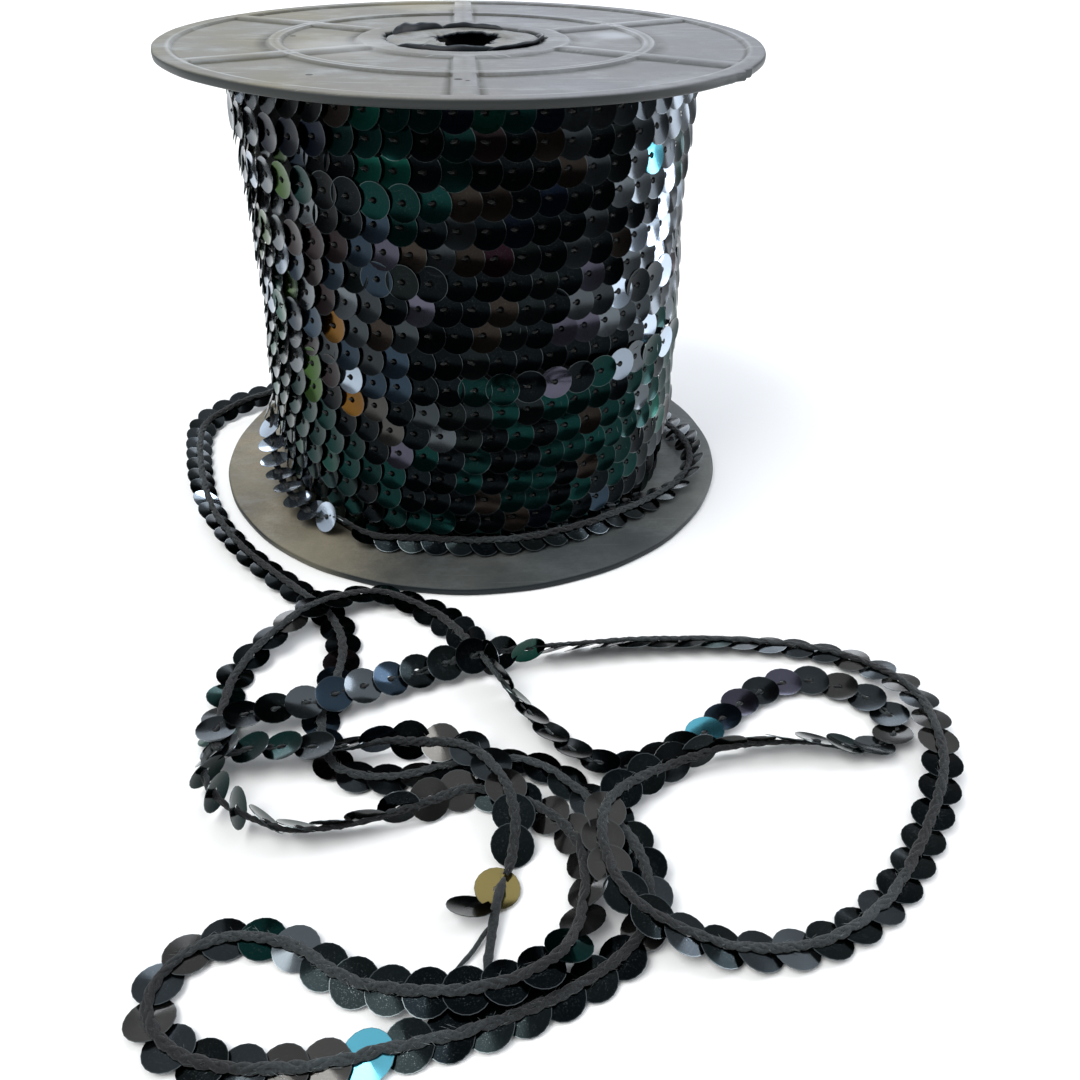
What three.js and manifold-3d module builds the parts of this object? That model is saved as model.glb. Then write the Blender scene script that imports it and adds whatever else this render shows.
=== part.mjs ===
// A flat strip of threaded cup sequins wound on a black moulded spool that stands on one flange.
// One slack turn has dropped onto the lower flange, and the loose end lies in loops in front of it.
// Millimetres, +Z up, the spool's axis on Z and its lower rim on z = 0.

import * as THREE from "three";
import { mergeVertices } from "three/addons/utils/BufferGeometryUtils.js";
import Module from "manifold-3d";

const wasm = await Module();
wasm.setup();

// Driving dimensions
const SPOOL_HEIGHT = 79.4;
const FLANGE_R = 50;
const FLANGE_THICK = 1.4; // at the rim, the ring and the ribs
const PLATE_THICK = 1; // between them
const EDGE_ROUND = 0.4;
const RIM_INNER_R = 47.2;
const RING_OUTER_R = 32;
const RING_INNER_R = 30;
const BOSS_R = 17.6; // raised step round the middle hole
const RIB_COUNT = 6;
const RIB_WIDTH = 3.4;
const RIB_END_R = 48;
const CORE_OUTER_R = 15.5;
const CORE_INNER_R = 13.6;
const WEB_R = 13; // thin skin across the mouth of the core
const WEB_THICK = 0.8;
const WEB_RECESS = 0.9; // how far it lies below the flange's outer face
const SPINDLE_R = 6;
const HOLE_TEAR = 0.5; // how far the torn outlines wander: the flange's hole, then both skins
const UPPER_TEAR = 1.1;
const LOWER_TEAR = 0.1;
const GAP = 0.3; // between pieces that touch

const ROW_COUNT = 18; // turns of trim seen up the side of the winding
const ROW_STAND_OUT = 0.9; // how far a row's lower edge stands over the row below
const WINDING_INNER_R = CORE_OUTER_R + GAP;

const TRIM_WIDTH = 5.2;
const TRIM_THICK = 1.7;
const THREAD_WIDTH = 1.6;
const THREAD_THICK = 1;

const SPOOL_SEGMENTS = 60;
const WINDING_SEGMENTS = 40;
const CORE_SEGMENTS = 36;
const SECTION_STEPS = 4; // gives a strip eight sides
const TEAR_STEPS = 26;
const ROW_FOOT = 0.12; // share of a row's height at which its lower edge stands out
const ROW_HEAD = 0.95; // share at which it tucks under the row above
const ROW_TUCK = 0.3; // how far the whole winding is pressed in
const ROW_CLIMB = 0.35; // how far a row wanders up and down

// The winding's radius up its height: nearly straight, drawn in a little at half height.
const WINDING_SHAPE = [
  { height: 2.5, radius: 37.3 },
  { height: 14, radius: 38.3 },
  { height: 30, radius: 38.2 },
  { height: 52, radius: 37.6 },
  { height: 66, radius: 38.1 },
  { height: 76.9, radius: 38.6 },
];

// Places where turns bulge out or have slipped in, as seen round the winding.
const WINDING_LUMPS = [
  { angle: -8, height: 45, reach: 9, out: 0.9 },
  { angle: -4, height: 30, reach: 8, out: 0.6 },
  { angle: -172, height: 36, reach: 8, out: -0.9 },
  { angle: -160, height: 68, reach: 10, out: 0.5 },
  { angle: 60, height: 40, reach: 14, out: 0.7 },
  { angle: 140, height: 24, reach: 12, out: -0.6 },
];

// The slack turn: it leaves the winding low on the left, goes once round on the lower flange,
// and slips over the rim at the back left. Angles in degrees, counter-clockwise from +X.
const FLANGE_TURN = [
  { angle: 186, radius: 42.3, height: 12.5 },
  { angle: 203, radius: 42.2, height: 7.5 },
  { angle: 226, radius: 41.5, height: 3.1 },
  { angle: 251, radius: 41.3, height: 2.6 },
  { angle: 276, radius: 41.3, height: 2.6 },
  { angle: 300, radius: 41.7, height: 2.6 },
  { angle: 322, radius: 42.9, height: 2.6 },
  { angle: 340, radius: 45.2, height: 2.6 },
  { angle: 353, radius: 44.6, height: 2.6 },
  { angle: 368, radius: 42, height: 2.6 },
  { angle: 392, radius: 41.6, height: 2.6 },
  { angle: 420, radius: 41.8, height: 2.6 },
  { angle: 448, radius: 41.6, height: 2.6 },
  { angle: 474, radius: 42, height: 2.6 },
  { angle: 495, radius: 44.8, height: 2.7 },
  { angle: 509, radius: 49.3, height: 3.1 },
];

// The loose length from the rim to the far left loop, read off the picture: x, y and height.
const LEFT_RUN = [
  [-53, 18.5, 2.4], [-57.5, 11, 1.1], [-55.5, -5, 1], [-50, -22.5, 1],
  [-41.5, -36.5, 1], [-32, -47, 1], [-25, -54.5, 1], [-21.5, -63, 1],
  [-22, -73, 1], [-23, -81, 1], [-19.5, -89.5, 1], [-12.5, -91.5, 1],
  [0.5, -89, 1], [8, -90.3, 1], [14.5, -97, 1], [18.8, -104, 1],
  [20, -111.5, 1], [18, -117.5, 1], [12, -122.5, 1], [1.5, -127, 1],
  [-10, -129.5, 1], [-19, -131, 1], [-27, -130.5, 1], [-33.5, -128, 1],
  [-37, -123, 1], [-35, -117.5, 1], [-29.5, -115, 1], [-22.5, -116.5, 1],
  [-15.5, -121.5, 1.5], [-6, -124.3, 2.9], [3.5, -123.3, 3.3], [9, -120, 3.3],
];

// On from there through the left loop, the small right loop and the big right loop.
const MIDDLE_RUN = [
  [12, -113, 1.4], [12, -105, 1], [7.6, -98.6, 1], [-1.2, -94.8, 1],
  [-7.5, -97.5, 1], [-17, -100.5, 1], [-27.5, -98.5, 1], [-36.5, -91.5, 1],
  [-37, -83, 1], [-37.3, -70.5, 1], [-33, -62.5, 2.4], [-26, -55.5, 3.5],
  [-16.5, -51, 2], [-8, -55.5, 1.1], [0, -68, 1], [7, -81, 1],
  [13.8, -89, 1], [19.5, -91.3, 1], [26, -89, 1], [32.5, -85, 1],
  [40, -78.5, 1], [49, -75, 1], [57.5, -79, 1], [60.3, -85, 1],
  [56, -89.5, 1], [45.5, -88.5, 1], [32.5, -90.5, 2.6], [22.5, -94.5, 3.4],
];

// Last the big loop, the stretch that lies over the others, its fold, and the free end.
const END_RUN = [
  [16.5, -99, 3.4], [15, -106, 3.4], [17, -113.5, 3.5], [21.3, -117.5, 3],
  [29.5, -120, 1.2], [39, -119.5, 1], [48.5, -114.5, 1], [57, -105, 1.3],
  [63.3, -94, 3.1], [64.5, -80, 2.9], [57.5, -70, 1.2], [43.5, -66, 1],
  [25.5, -65.5, 1], [9.5, -67, 1.6], [-0.5, -70, 3.5], [-10.5, -73, 2.4],
  [-19.5, -77, 3.5], [-29, -78, 2.8], [-33.4, -79.4, 3.3], [-34.9, -82.2, 3.4],
  [-31.8, -85.2, 3.3], [-20.5, -88, 3.5], [-11.5, -86.5, 2.6], [-2, -88.5, 3.5],
  [2.4, -94, 3.6], [4, -100.5, 2.9], [3.5, -105, 1.2], [2.5, -108.5, 1],
];

// The bare thread at the end, and the short branch that has frayed off it.
const THREAD_RUN = [
  [2.4, -109, 1], [1.4, -112.5, 0.8], [0.9, -115, 0.8], [0.6, -118.2, 0.8],
];
const BRANCH_RUN = [
  [-0.6, -115.6, 0.6], [-1.9, -117.2, 0.6], [-3.9, -118.8, 0.6],
];

// The strip is cut into stretches, each a solid of its own, with the steps that its bends need.
const STRETCHES = [
  { name: "slack_turn", steps: 19, until: "flange" },
  { name: "loose_trim_left_run", steps: 22, until: "left" },
  { name: "loose_trim_middle_run", steps: 22, until: "middle" },
  { name: "loose_trim_end_run", steps: 20, until: "end" },
];

const SPOOL_MATERIAL = new THREE.MeshStandardMaterial({ color: 0x3f4246, roughness: 0.55, metalness: 0 });
const WEB_MATERIAL = new THREE.MeshStandardMaterial({ color: 0x6f7174, roughness: 0.6, metalness: 0 });
const SEQUIN_MATERIAL = new THREE.MeshStandardMaterial({ color: 0x0b1a1c, roughness: 0.18, metalness: 0 });
const THREAD_MATERIAL = new THREE.MeshStandardMaterial({ color: 0x22302f, roughness: 0.95, metalness: 0 });

const radians = THREE.MathUtils.degToRad;

// The closed mesh's solid, ready to be joined or cut.
function solidFrom(geometry) {
  const bare = geometry.index ? geometry.toNonIndexed() : geometry.clone();
  bare.deleteAttribute("normal");
  bare.deleteAttribute("uv");
  const merged = mergeVertices(bare, 1e-4);
  const mesh = new wasm.Mesh({
    numProp: 3,
    vertProperties: merged.attributes.position.array,
    triVerts: new Uint32Array(merged.index.array),
  });
  return new wasm.Manifold(mesh);
}

// The solid back as a geometry with its own face normals.
function geometryFrom(solid) {
  const mesh = solid.getMesh();
  const geometry = new THREE.BufferGeometry();
  geometry.setAttribute("position", new THREE.BufferAttribute(new Float32Array(mesh.vertProperties), 3));
  geometry.setIndex(new THREE.BufferAttribute(new Uint32Array(mesh.triVerts), 1));
  geometry.computeVertexNormals();
  return geometry;
}

// A profile of radius and height pairs turned about the Z axis.
function turned(profile, segments) {
  const points = profile.map(([radius, height]) => new THREE.Vector2(radius, height));
  return new THREE.LatheGeometry(points, segments).rotateX(Math.PI / 2);
}

// An uneven outline round the axis, as torn skin leaves it.
function tornOutline(radius, depth) {
  const points = [];
  for (let i = 0; i < TEAR_STEPS; i++) {
    const angle = (i / TEAR_STEPS) * 2 * Math.PI;
    const bite = 0.5 * Math.sin(3 * angle + 0.6) + 0.3 * Math.sin(7 * angle) + 0.2 * Math.sin(11 * angle + 2);
    const reach = radius + depth * bite;
    points.push(new THREE.Vector2(reach * Math.cos(angle), reach * Math.sin(angle)));
  }
  return points;
}

// Flange, built with its flat inner face on z = 0 and its ribbed outer face up.
function flangeGeometry() {
  const top = FLANGE_THICK;
  const plate = PLATE_THICK;
  const slope = top - plate;
  const disc = turned(
    [
      [0, 0],
      [FLANGE_R - EDGE_ROUND, 0],
      [FLANGE_R, EDGE_ROUND],
      [FLANGE_R, top - EDGE_ROUND],
      [FLANGE_R - EDGE_ROUND, top],
      [RIM_INNER_R, top],
      [RIM_INNER_R - slope, plate],
      [RING_OUTER_R + slope, plate],
      [RING_OUTER_R, top],
      [RING_INNER_R, top],
      [RING_INNER_R - slope, plate],
      [BOSS_R + slope, plate],
      [BOSS_R, top],
      [0, top],
    ],
    SPOOL_SEGMENTS,
  );
  let flange = solidFrom(disc);
  for (let i = 0; i < RIB_COUNT; i++) {
    flange = flange.add(solidFrom(ribGeometry((i + 0.5) / RIB_COUNT)));
  }
  const hole = new THREE.Shape(tornOutline(CORE_INNER_R, HOLE_TEAR));
  const cutter = new THREE.ExtrudeGeometry(hole, { depth: 2 * FLANGE_THICK, bevelEnabled: false });
  cutter.translate(0, 0, -FLANGE_THICK / 2);
  return geometryFrom(flange.subtract(solidFrom(cutter)));
}

// One raised rib from the boss to the rim, at a share of a full turn.
function ribGeometry(turn) {
  const length = RIB_END_R - BOSS_R + 1;
  const depth = FLANGE_THICK - PLATE_THICK / 2;
  const rib = new THREE.BoxGeometry(length, RIB_WIDTH, depth);
  rib.translate(BOSS_R - 1 + length / 2, 0, FLANGE_THICK - depth / 2);
  return rib.rotateZ(turn * 2 * Math.PI);
}

// Hollow core between the flanges.
function coreGeometry() {
  const low = FLANGE_THICK + GAP;
  const high = SPOOL_HEIGHT - FLANGE_THICK - GAP;
  const wall = [
    [CORE_INNER_R, low],
    [CORE_OUTER_R, low],
    [CORE_OUTER_R, high],
    [CORE_INNER_R, high],
    [CORE_INNER_R, low],
  ];
  return turned(wall, CORE_SEGMENTS);
}

// Thin skin across the core's mouth, with the spindle hole torn through it.
function webGeometry(tearDepth) {
  const skin = new THREE.Shape().absarc(0, 0, WEB_R, 0, 2 * Math.PI);
  skin.holes.push(new THREE.Path(tornOutline(SPINDLE_R, tearDepth)));
  return new THREE.ExtrudeGeometry(skin, {
    depth: WEB_THICK,
    bevelEnabled: false,
    curveSegments: CORE_SEGMENTS / 2,
  });
}

// Reads a value off a short table of heights, straight between its rows.
function windingRadius(height) {
  const next = WINDING_SHAPE.findIndex((row, i) => i > 0 && (row.height >= height || i === WINDING_SHAPE.length - 1));
  const upper = WINDING_SHAPE[next];
  const lower = WINDING_SHAPE[next - 1];
  const share = (height - lower.height) / (upper.height - lower.height);
  return THREE.MathUtils.lerp(lower.radius, upper.radius, THREE.MathUtils.clamp(share, 0, 1));
}

// How far the lumps push the winding out at one place.
function lumpAt(angle, height) {
  return WINDING_LUMPS.reduce((sum, lump) => {
    const turn = Math.atan2(Math.sin(angle - radians(lump.angle)), Math.cos(angle - radians(lump.angle)));
    const away = Math.hypot(turn * windingRadius(lump.height), height - lump.height) / lump.reach;
    return sum + lump.out * Math.exp(-away * away);
  }, 0);
}

// The wound trim: one barrel, its turns raised as rows whose lower edges stand out.
function windingGeometry() {
  const low = FLANGE_THICK + GAP;
  const high = SPOOL_HEIGHT - FLANGE_THICK - GAP;
  const pitch = (high - low) / ROW_COUNT;
  const profile = [[WINDING_INNER_R, low]];
  for (let row = 0; row < ROW_COUNT; row++) {
    const foot = low + row * pitch;
    profile.push([windingRadius(foot) + ROW_STAND_OUT, foot + (row ? ROW_FOOT * pitch : 0)]);
    profile.push([windingRadius(foot + pitch), foot + (row < ROW_COUNT - 1 ? ROW_HEAD : 1) * pitch]);
  }
  profile.push([WINDING_INNER_R, high]);
  profile.push([WINDING_INNER_R, low]);
  const winding = turned(profile, WINDING_SEGMENTS);
  waveRows(winding, low, high, pitch);
  return winding;
}

// Lifts and pushes the rows a little, so that the turns lie as unevenly as wound trim does.
function waveRows(winding, low, high, pitch) {
  const position = winding.attributes.position;
  for (let i = 0; i < position.count; i++) {
    const x = position.getX(i);
    const y = position.getY(i);
    const z = position.getZ(i);
    const radius = Math.hypot(x, y);
    if (radius < WINDING_INNER_R + 1) continue;
    const angle = Math.atan2(y, x);
    const row = Math.round((z - low) / pitch);
    const ripple = 0.25 * Math.sin(3 * angle + 1.7 * row) + 0.15 * Math.sin(5 * angle - 0.9 * row);
    const wanted = radius + lumpAt(angle, z) + ripple - ROW_TUCK;
    const inside = z > low + pitch / 2 && z < high - pitch / 2;
    const climb = inside ? ROW_CLIMB * Math.sin(2 * angle + 0.8 * row) : 0;
    position.setXYZ(i, (x * wanted) / radius, (y * wanted) / radius, z + climb);
  }
}

// A length of a longer curve whose flat side stays level while it bends and climbs.
class LevelStretch extends THREE.Curve {
  constructor(whole, from, to) {
    super();
    this.whole = whole;
    this.from = from;
    this.to = to;
    this.arcLengthDivisions = 400;
  }

  getPoint(t, target = new THREE.Vector3()) {
    const share = THREE.MathUtils.lerp(this.from, this.to, t) / this.whole.getLength();
    return this.whole.getPointAt(THREE.MathUtils.clamp(share, 0, 1), target);
  }

  computeFrenetFrames(steps) {
    const frames = { tangents: [], normals: [], binormals: [] };
    const up = new THREE.Vector3(0, 0, 1);
    for (let i = 0; i <= steps; i++) {
      const tangent = this.getTangentAt(i / steps, new THREE.Vector3());
      const side = new THREE.Vector3().crossVectors(tangent, up).normalize();
      frames.tangents.push(tangent);
      frames.normals.push(new THREE.Vector3().crossVectors(side, tangent).normalize());
      frames.binormals.push(side);
    }
    return frames;
  }
}

// A strip with rounded edges laid along a curve.
function stripGeometry(curve, width, thick, steps) {
  const section = new THREE.Shape();
  section.absellipse(0, 0, thick / 2, width / 2, 0, 2 * Math.PI);
  return new THREE.ExtrudeGeometry(section, { steps, extrudePath: curve, curveSegments: SECTION_STEPS });
}

const vectors = (rows) => rows.map(([x, y, z]) => new THREE.Vector3(x, y, z));

// The whole route of the free trim on one smooth curve, and the length at which each run of it ends.
function trimRoute() {
  const flangePoints = FLANGE_TURN.map(({ angle, radius, height }) => {
    const turn = radians(angle);
    return new THREE.Vector3(radius * Math.cos(turn), radius * Math.sin(turn), height);
  });
  const runs = {
    flange: flangePoints,
    left: vectors(LEFT_RUN),
    middle: vectors(MIDDLE_RUN),
    end: vectors(END_RUN),
  };
  const points = Object.values(runs).flat();
  const whole = new THREE.CatmullRomCurve3(points, false, "centripetal");
  whole.arcLengthDivisions = 4000;
  const lengths = whole.getLengths();
  const ends = {};
  let count = 0;
  for (const [name, run] of Object.entries(runs)) {
    count += run.length;
    const share = Math.min(1, (count - 1) / (points.length - 1));
    ends[name] = lengths[Math.round(share * whole.arcLengthDivisions)];
  }
  return { whole, ends };
}

const part = new THREE.Group();

// Names a mesh, gives it its material and adds it to a group.
function addPiece(group, name, geometry, material) {
  const mesh = new THREE.Mesh(geometry, material);
  mesh.name = name;
  group.add(mesh);
  return mesh;
}

// The spool: the lower flange is the same moulding as the upper one, turned over.
function addSpool() {
  const upper = new THREE.Group();
  upper.position.z = SPOOL_HEIGHT - FLANGE_THICK;
  addPiece(upper, "flange_top", flangeGeometry(), SPOOL_MATERIAL);
  const skin = addPiece(upper, "core_skin_top", webGeometry(UPPER_TEAR), WEB_MATERIAL);
  skin.position.z = FLANGE_THICK - WEB_RECESS - WEB_THICK;

  const lower = new THREE.Group();
  lower.position.z = FLANGE_THICK;
  lower.rotation.x = Math.PI;
  addPiece(lower, "flange_bottom", flangeGeometry(), SPOOL_MATERIAL);
  const plainSkin = addPiece(lower, "core_skin_bottom", webGeometry(LOWER_TEAR), WEB_MATERIAL);
  plainSkin.position.z = FLANGE_THICK - WEB_RECESS - WEB_THICK;

  part.add(upper, lower);
  addPiece(part, "core", coreGeometry(), SPOOL_MATERIAL);
}

// The trim: the winding, the free stretches in turn, and the frayed thread.
function addTrim() {
  addPiece(part, "wound_trim", windingGeometry(), SEQUIN_MATERIAL);
  const { whole, ends } = trimRoute();
  let start = 0;
  for (const { name, steps, until } of STRETCHES) {
    const curve = new LevelStretch(whole, start, ends[until] - GAP / 2);
    addPiece(part, name, stripGeometry(curve, TRIM_WIDTH, TRIM_THICK, steps), SEQUIN_MATERIAL);
    start = ends[until] + GAP / 2;
  }
  const threads = [
    { name: "thread_end", run: THREAD_RUN, steps: 5 },
    { name: "thread_branch", run: BRANCH_RUN, steps: 3 },
  ];
  for (const { name, run, steps } of threads) {
    const whole = new THREE.CatmullRomCurve3(vectors(run), false, "centripetal");
    const curve = new LevelStretch(whole, 0, whole.getLength());
    addPiece(part, name, stripGeometry(curve, THREAD_WIDTH, THREAD_THICK, steps), THREAD_MATERIAL);
  }
}

addSpool();
addTrim();

export default part;
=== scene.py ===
# %% [markdown]
# # Sequin trim on its spool
# A black moulded spool stands on one flange. It holds a flat strip of cup sequins, chained
# together by a thread that runs through their holes. One slack turn has dropped onto the lower
# flange, and the loose end lies in loops in front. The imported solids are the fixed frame. This
# script dresses them with real discs, stitches and worn plastic, all in metres.

# %% Load the frame
import math

import bpy
import numpy as np
from mathutils import Matrix, Vector


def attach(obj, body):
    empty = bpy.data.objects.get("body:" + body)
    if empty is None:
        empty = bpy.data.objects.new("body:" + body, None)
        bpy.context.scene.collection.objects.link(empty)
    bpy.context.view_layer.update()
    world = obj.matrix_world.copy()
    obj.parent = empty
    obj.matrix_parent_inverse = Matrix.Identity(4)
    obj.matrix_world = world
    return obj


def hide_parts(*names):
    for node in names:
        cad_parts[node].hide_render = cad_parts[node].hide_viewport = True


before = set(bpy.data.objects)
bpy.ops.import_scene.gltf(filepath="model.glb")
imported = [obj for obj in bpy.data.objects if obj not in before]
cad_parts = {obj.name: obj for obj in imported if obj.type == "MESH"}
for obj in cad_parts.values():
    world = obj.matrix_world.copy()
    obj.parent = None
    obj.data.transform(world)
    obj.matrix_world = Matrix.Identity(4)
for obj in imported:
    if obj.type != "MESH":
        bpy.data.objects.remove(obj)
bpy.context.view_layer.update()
MM = 0.001
print("nodes in the frame:", sorted(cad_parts))

# %% [markdown]
# ## Camera
# The picture was taken from above and in front, close to the object, so near loops look much
# larger than the spool. The place and the angles below come from fitting both flange outlines.
# The camera comes first, because every later choice is judged through it.

# %% Camera
CAMERA_PLACE = Vector((0, -188.2275, 106.015)) * MM
CAMERA_DOWN = math.radians(34.3726)
CAMERA_TURN = math.radians(4.3599)
CAMERA_ROLL = math.radians(1.0399)
FOCAL_SHARE = 1014.24 / 1080  # focal length as a share of the picture's width
SENSOR = 36


def aim_camera():
    forward = Vector((
        math.sin(CAMERA_TURN) * math.cos(CAMERA_DOWN),
        math.cos(CAMERA_TURN) * math.cos(CAMERA_DOWN),
        -math.sin(CAMERA_DOWN),
    ))
    level = Vector((math.cos(CAMERA_TURN), -math.sin(CAMERA_TURN), 0))
    over = level.cross(forward)
    right = math.cos(CAMERA_ROLL) * level + math.sin(CAMERA_ROLL) * over
    up = math.cos(CAMERA_ROLL) * over - math.sin(CAMERA_ROLL) * level
    return Matrix((right, up, -forward)).transposed().to_4x4()


lens = bpy.data.cameras.new("trim_camera")
lens.sensor_width = SENSOR
lens.lens = SENSOR * FOCAL_SHARE
lens.clip_start = 0.005
camera = bpy.data.objects.new("trim_camera", lens)
camera.matrix_world = Matrix.Translation(CAMERA_PLACE) @ aim_camera()
bpy.context.scene.collection.objects.link(camera)
bpy.context.scene.camera = camera
print("camera lens in mm:", round(lens.lens, 2))

# %% [markdown]
# ## The way the loose trim lies
# A flat trim bends easily across its width and twists a little with each loop. Its line is one
# smooth curve through the points below, in millimetres. The fourth number is its roll in
# degrees: at 0 the sequins look up, at 180 the chained thread at the back does, and at 90 the
# strip stands on edge with its sequins to the left of the way it runs.

# %% Route of the loose trim
# On the lower flange: angle about the spool, radius, height and roll.
FLANGE_TURN = [
    (183, 40.6, 12.5, 290), (190, 40.6, 8.8, 338), (200, 41, 6.2, 352), (213, 41.2, 4.6, 356),
    (225, 41.3, 3.6, 332), (234, 40.6, 3.2, 240), (246, 39.7, 3, 160), (276, 39, 3, 143),
    (300, 39.4, 3, 147), (322, 41.2, 2.8, 168), (340, 45.2, 2.8, 215), (353, 44.6, 2.6, 226),
    (368, 42, 2.6, 200), (392, 41.6, 2.6, 182), (420, 41.8, 2.6, 180), (448, 41.6, 2.6, 180),
    (474, 42, 2.6, 184), (495, 44.8, 2.7, 196), (509, 49.3, 3.1, 205),
]
# From the rim to the far left loop and back along the front: x, y, height and roll.
LEFT_RUN = [
    (-53, 18.5, 2.4, 208), (-57.5, 11, 1.1, 210), (-55.5, -5, 1, 212), (-50, -22.5, 1, 208),
    (-41.5, -36.5, 1, 198), (-32, -47, 1, 186), (-25, -54.5, 1, 180), (-21.5, -63, 1, 184),
    (-22, -73, 1, 190), (-23, -81, 1, 184), (-19.5, -89.5, 1, 180), (-12.5, -91.5, 1, 184),
    (0.5, -89, 1, 188), (8, -90.3, 1, 186), (14.5, -97, 1, 176), (18.8, -104, 1, 162),
    (20, -111.5, 1, 162), (18, -117.5, 1, 170), (12, -122.5, 1, 184), (1.5, -127, 1, 192),
    (-10, -129.5, 1, 192), (-19, -131, 1, 188), (-27, -130.5, 1, 184), (-33.5, -128, 1, 182),
    (-37, -123, 1, 180), (-35, -117.5, 1, 180), (-29.5, -115, 1, 178), (-22.5, -116.5, 1, 172),
    (-15.5, -121.5, 1.5, 166), (-6, -124.3, 2.9, 168), (3.5, -123.3, 3.3, 176), (9, -120, 3.3, 186),
]
# On through the left loop, the small right loop and into the big right loop.
MIDDLE_RUN = [
    (12, -113, 1.4, 214), (12, -105, 1, 216), (7.6, -98.6, 1, 200), (-1.2, -94.8, 1, 204),
    (-7.5, -97.5, 1, 236), (-12.5, -99.6, 1.4, 280), (-17, -100.6, 1.6, 300), (-21.5, -100.8, 1.9, 310),
    (-25.5, -100.4, 2.4, 322), (-29, -99.2, 2.8, 304), (-32.4, -97.3, 2.9, 284), (-35.1, -94.6, 2.9, 258),
    (-36.8, -91, 2.6, 238), (-37.2, -84, 1.4, 200), (-37.3, -70.5, 1, 166), (-33, -62.5, 2.4, 180),
    (-26, -55.5, 3.5, 180), (-16.5, -51, 2, 182), (-8, -55.5, 1.1, 172), (0, -68, 1, 112),
    (7, -81, 1, 34), (13.8, -89, 1, 20), (19.5, -91.3, 1, 8), (26, -89, 1, 5),
    (32.5, -85, 1, 6), (40, -78.5, 1, 2), (49, -75, 1, -4), (57.5, -79, 1, -6),
    (60.3, -85, 1, -8), (56, -89.5, 1, -14), (45.5, -88.5, 1, -35), (32.5, -90.5, 2.6, -78),
    (22.5, -94.5, 3.4, -145),
]
# Last the big loop, the stretch that lies over the others, its fold, and the free end.
END_RUN = [
    (16.5, -99, 3.4, -170), (15, -106, 3.4, -176), (17, -113.5, 3.5, -178), (21.3, -117.5, 3, -176),
    (29.5, -120, 1.2, -174), (39, -119.5, 1, -174), (48.5, -114.5, 1, -176), (57, -105, 1.3, -178),
    (63.3, -94, 3.1, -180), (64.5, -80, 2.9, -182), (57.5, -70, 1.2, -182), (43.5, -66, 1, -194),
    (25.5, -65.6, 1, -208), (12, -67.4, 1.6, -230), (6, -68.6, 2.4, -270), (-0.5, -69.6, 3.5, -310),
    (-8.5, -71.6, 2.6, -328), (-19.5, -76.6, 3.5, -332), (-26.5, -78.9, 3.2, -345), (-31, -80, 3.3, -352),
    (-35, -81.4, 3.4, -360), (-37.2, -84.6, 3.4, -364), (-35, -87.8, 3.4, -362), (-30.5, -87.2, 3.4, -358),
    (-20.5, -87.6, 3.5, -344), (-11.5, -86.5, 2.6, -250), (-2, -88.5, 3.5, -192), (2.4, -94, 3.6, -180),
    (4, -100.5, 2.9, -172), (3.5, -105, 1.2, -170), (2.5, -108.5, 1, -170),
]


def flange_points():
    rows = []
    for angle, radius, height, roll in FLANGE_TURN:
        turn = math.radians(angle)
        rows.append((radius * math.cos(turn), radius * math.sin(turn), height, roll))
    return rows


def smooth_line(rows, steps=24):
    """Centripetal curve through rows; a fourth number on each row is carried along with it."""
    rows = np.array(rows, float)
    rows = np.vstack([2 * rows[0] - rows[1], rows, 2 * rows[-1] - rows[-2]])
    share = np.linspace(0, 1, steps, endpoint=False)[:, None]
    out = []
    for before, start, end, after in zip(rows, rows[1:], rows[2:], rows[3:]):
        pairs = ((before, start), (start, end), (end, after))
        first, middle, last = (math.sqrt(np.linalg.norm((b - a)[:3])) for a, b in pairs)
        lead = (start - before) / first - (end - before) / (first + middle) + (end - start) / middle
        trail = (end - start) / middle - (after - start) / (middle + last) + (after - end) / last
        out.append(
            (2 * share**3 - 3 * share**2 + 1) * start
            + (share**3 - 2 * share**2 + share) * (lead * middle)
            + (3 * share**2 - 2 * share**3) * end
            + (share**3 - share**2) * (trail * middle)
        )
    return np.vstack(out + [rows[-2][None]])


def evenly(line, spacing):
    """The line again, with its points a set distance apart."""
    run = np.concatenate([[0], np.cumsum(np.linalg.norm(np.diff(line[:, :3], axis=0), axis=1))])
    wanted = np.linspace(0, run[-1], max(2, round(run[-1] / spacing) + 1))
    return np.stack([np.interp(wanted, run, line[:, k]) for k in range(line.shape[1])], 1)


ROUTE_STEP = 0.5
route = evenly(smooth_line(flange_points() + LEFT_RUN + MIDDLE_RUN + END_RUN), ROUTE_STEP)
print("loose trim, points and length in mm:", len(route), round((len(route) - 1) * ROUTE_STEP))

# %% [markdown]
# ## Which way each sequin faces
# At every point the strip has three directions: along it, out of its sequin side, and across.
# The discs lean a little, so that each covers the next one's edge as roof tiles do. A disc
# that leans or rolls needs room below it, so the line is raised to rest its lowest edge on the
# floor or the flange.

# %% Directions along a line
SEQUIN_R = 2.88  # mm, as are all lengths up to the meshes
LOOSE_PITCH = 4.35
LOOSE_LEAN = math.radians(7)
FLANGE_R = 50
FLANGE_THICK = 1.4
THREAD_ROOM = 0.6  # the thread at the back keeps the discs this far off what they lie on


def directions(line):
    """Unit vectors along the line, out of the sequin side, and across."""
    along = np.gradient(line[:, :3], axis=0)
    along /= np.linalg.norm(along, axis=1)[:, None]
    left = np.cross(np.array([0, 0, 1.0]), along)
    left /= np.linalg.norm(left, axis=1)[:, None]
    up = np.cross(along, left)
    roll = np.radians(line[:, 3])[:, None]
    front = np.cos(roll) * up + np.sin(roll) * left
    return along, front, np.cross(front, along)


def softened(values, reach):
    """Running average over reach points on both sides."""
    window = np.hanning(2 * reach + 1)
    padded = np.pad(values, reach, mode="edge")
    return np.convolve(padded, window / window.sum(), mode="valid")


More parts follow.
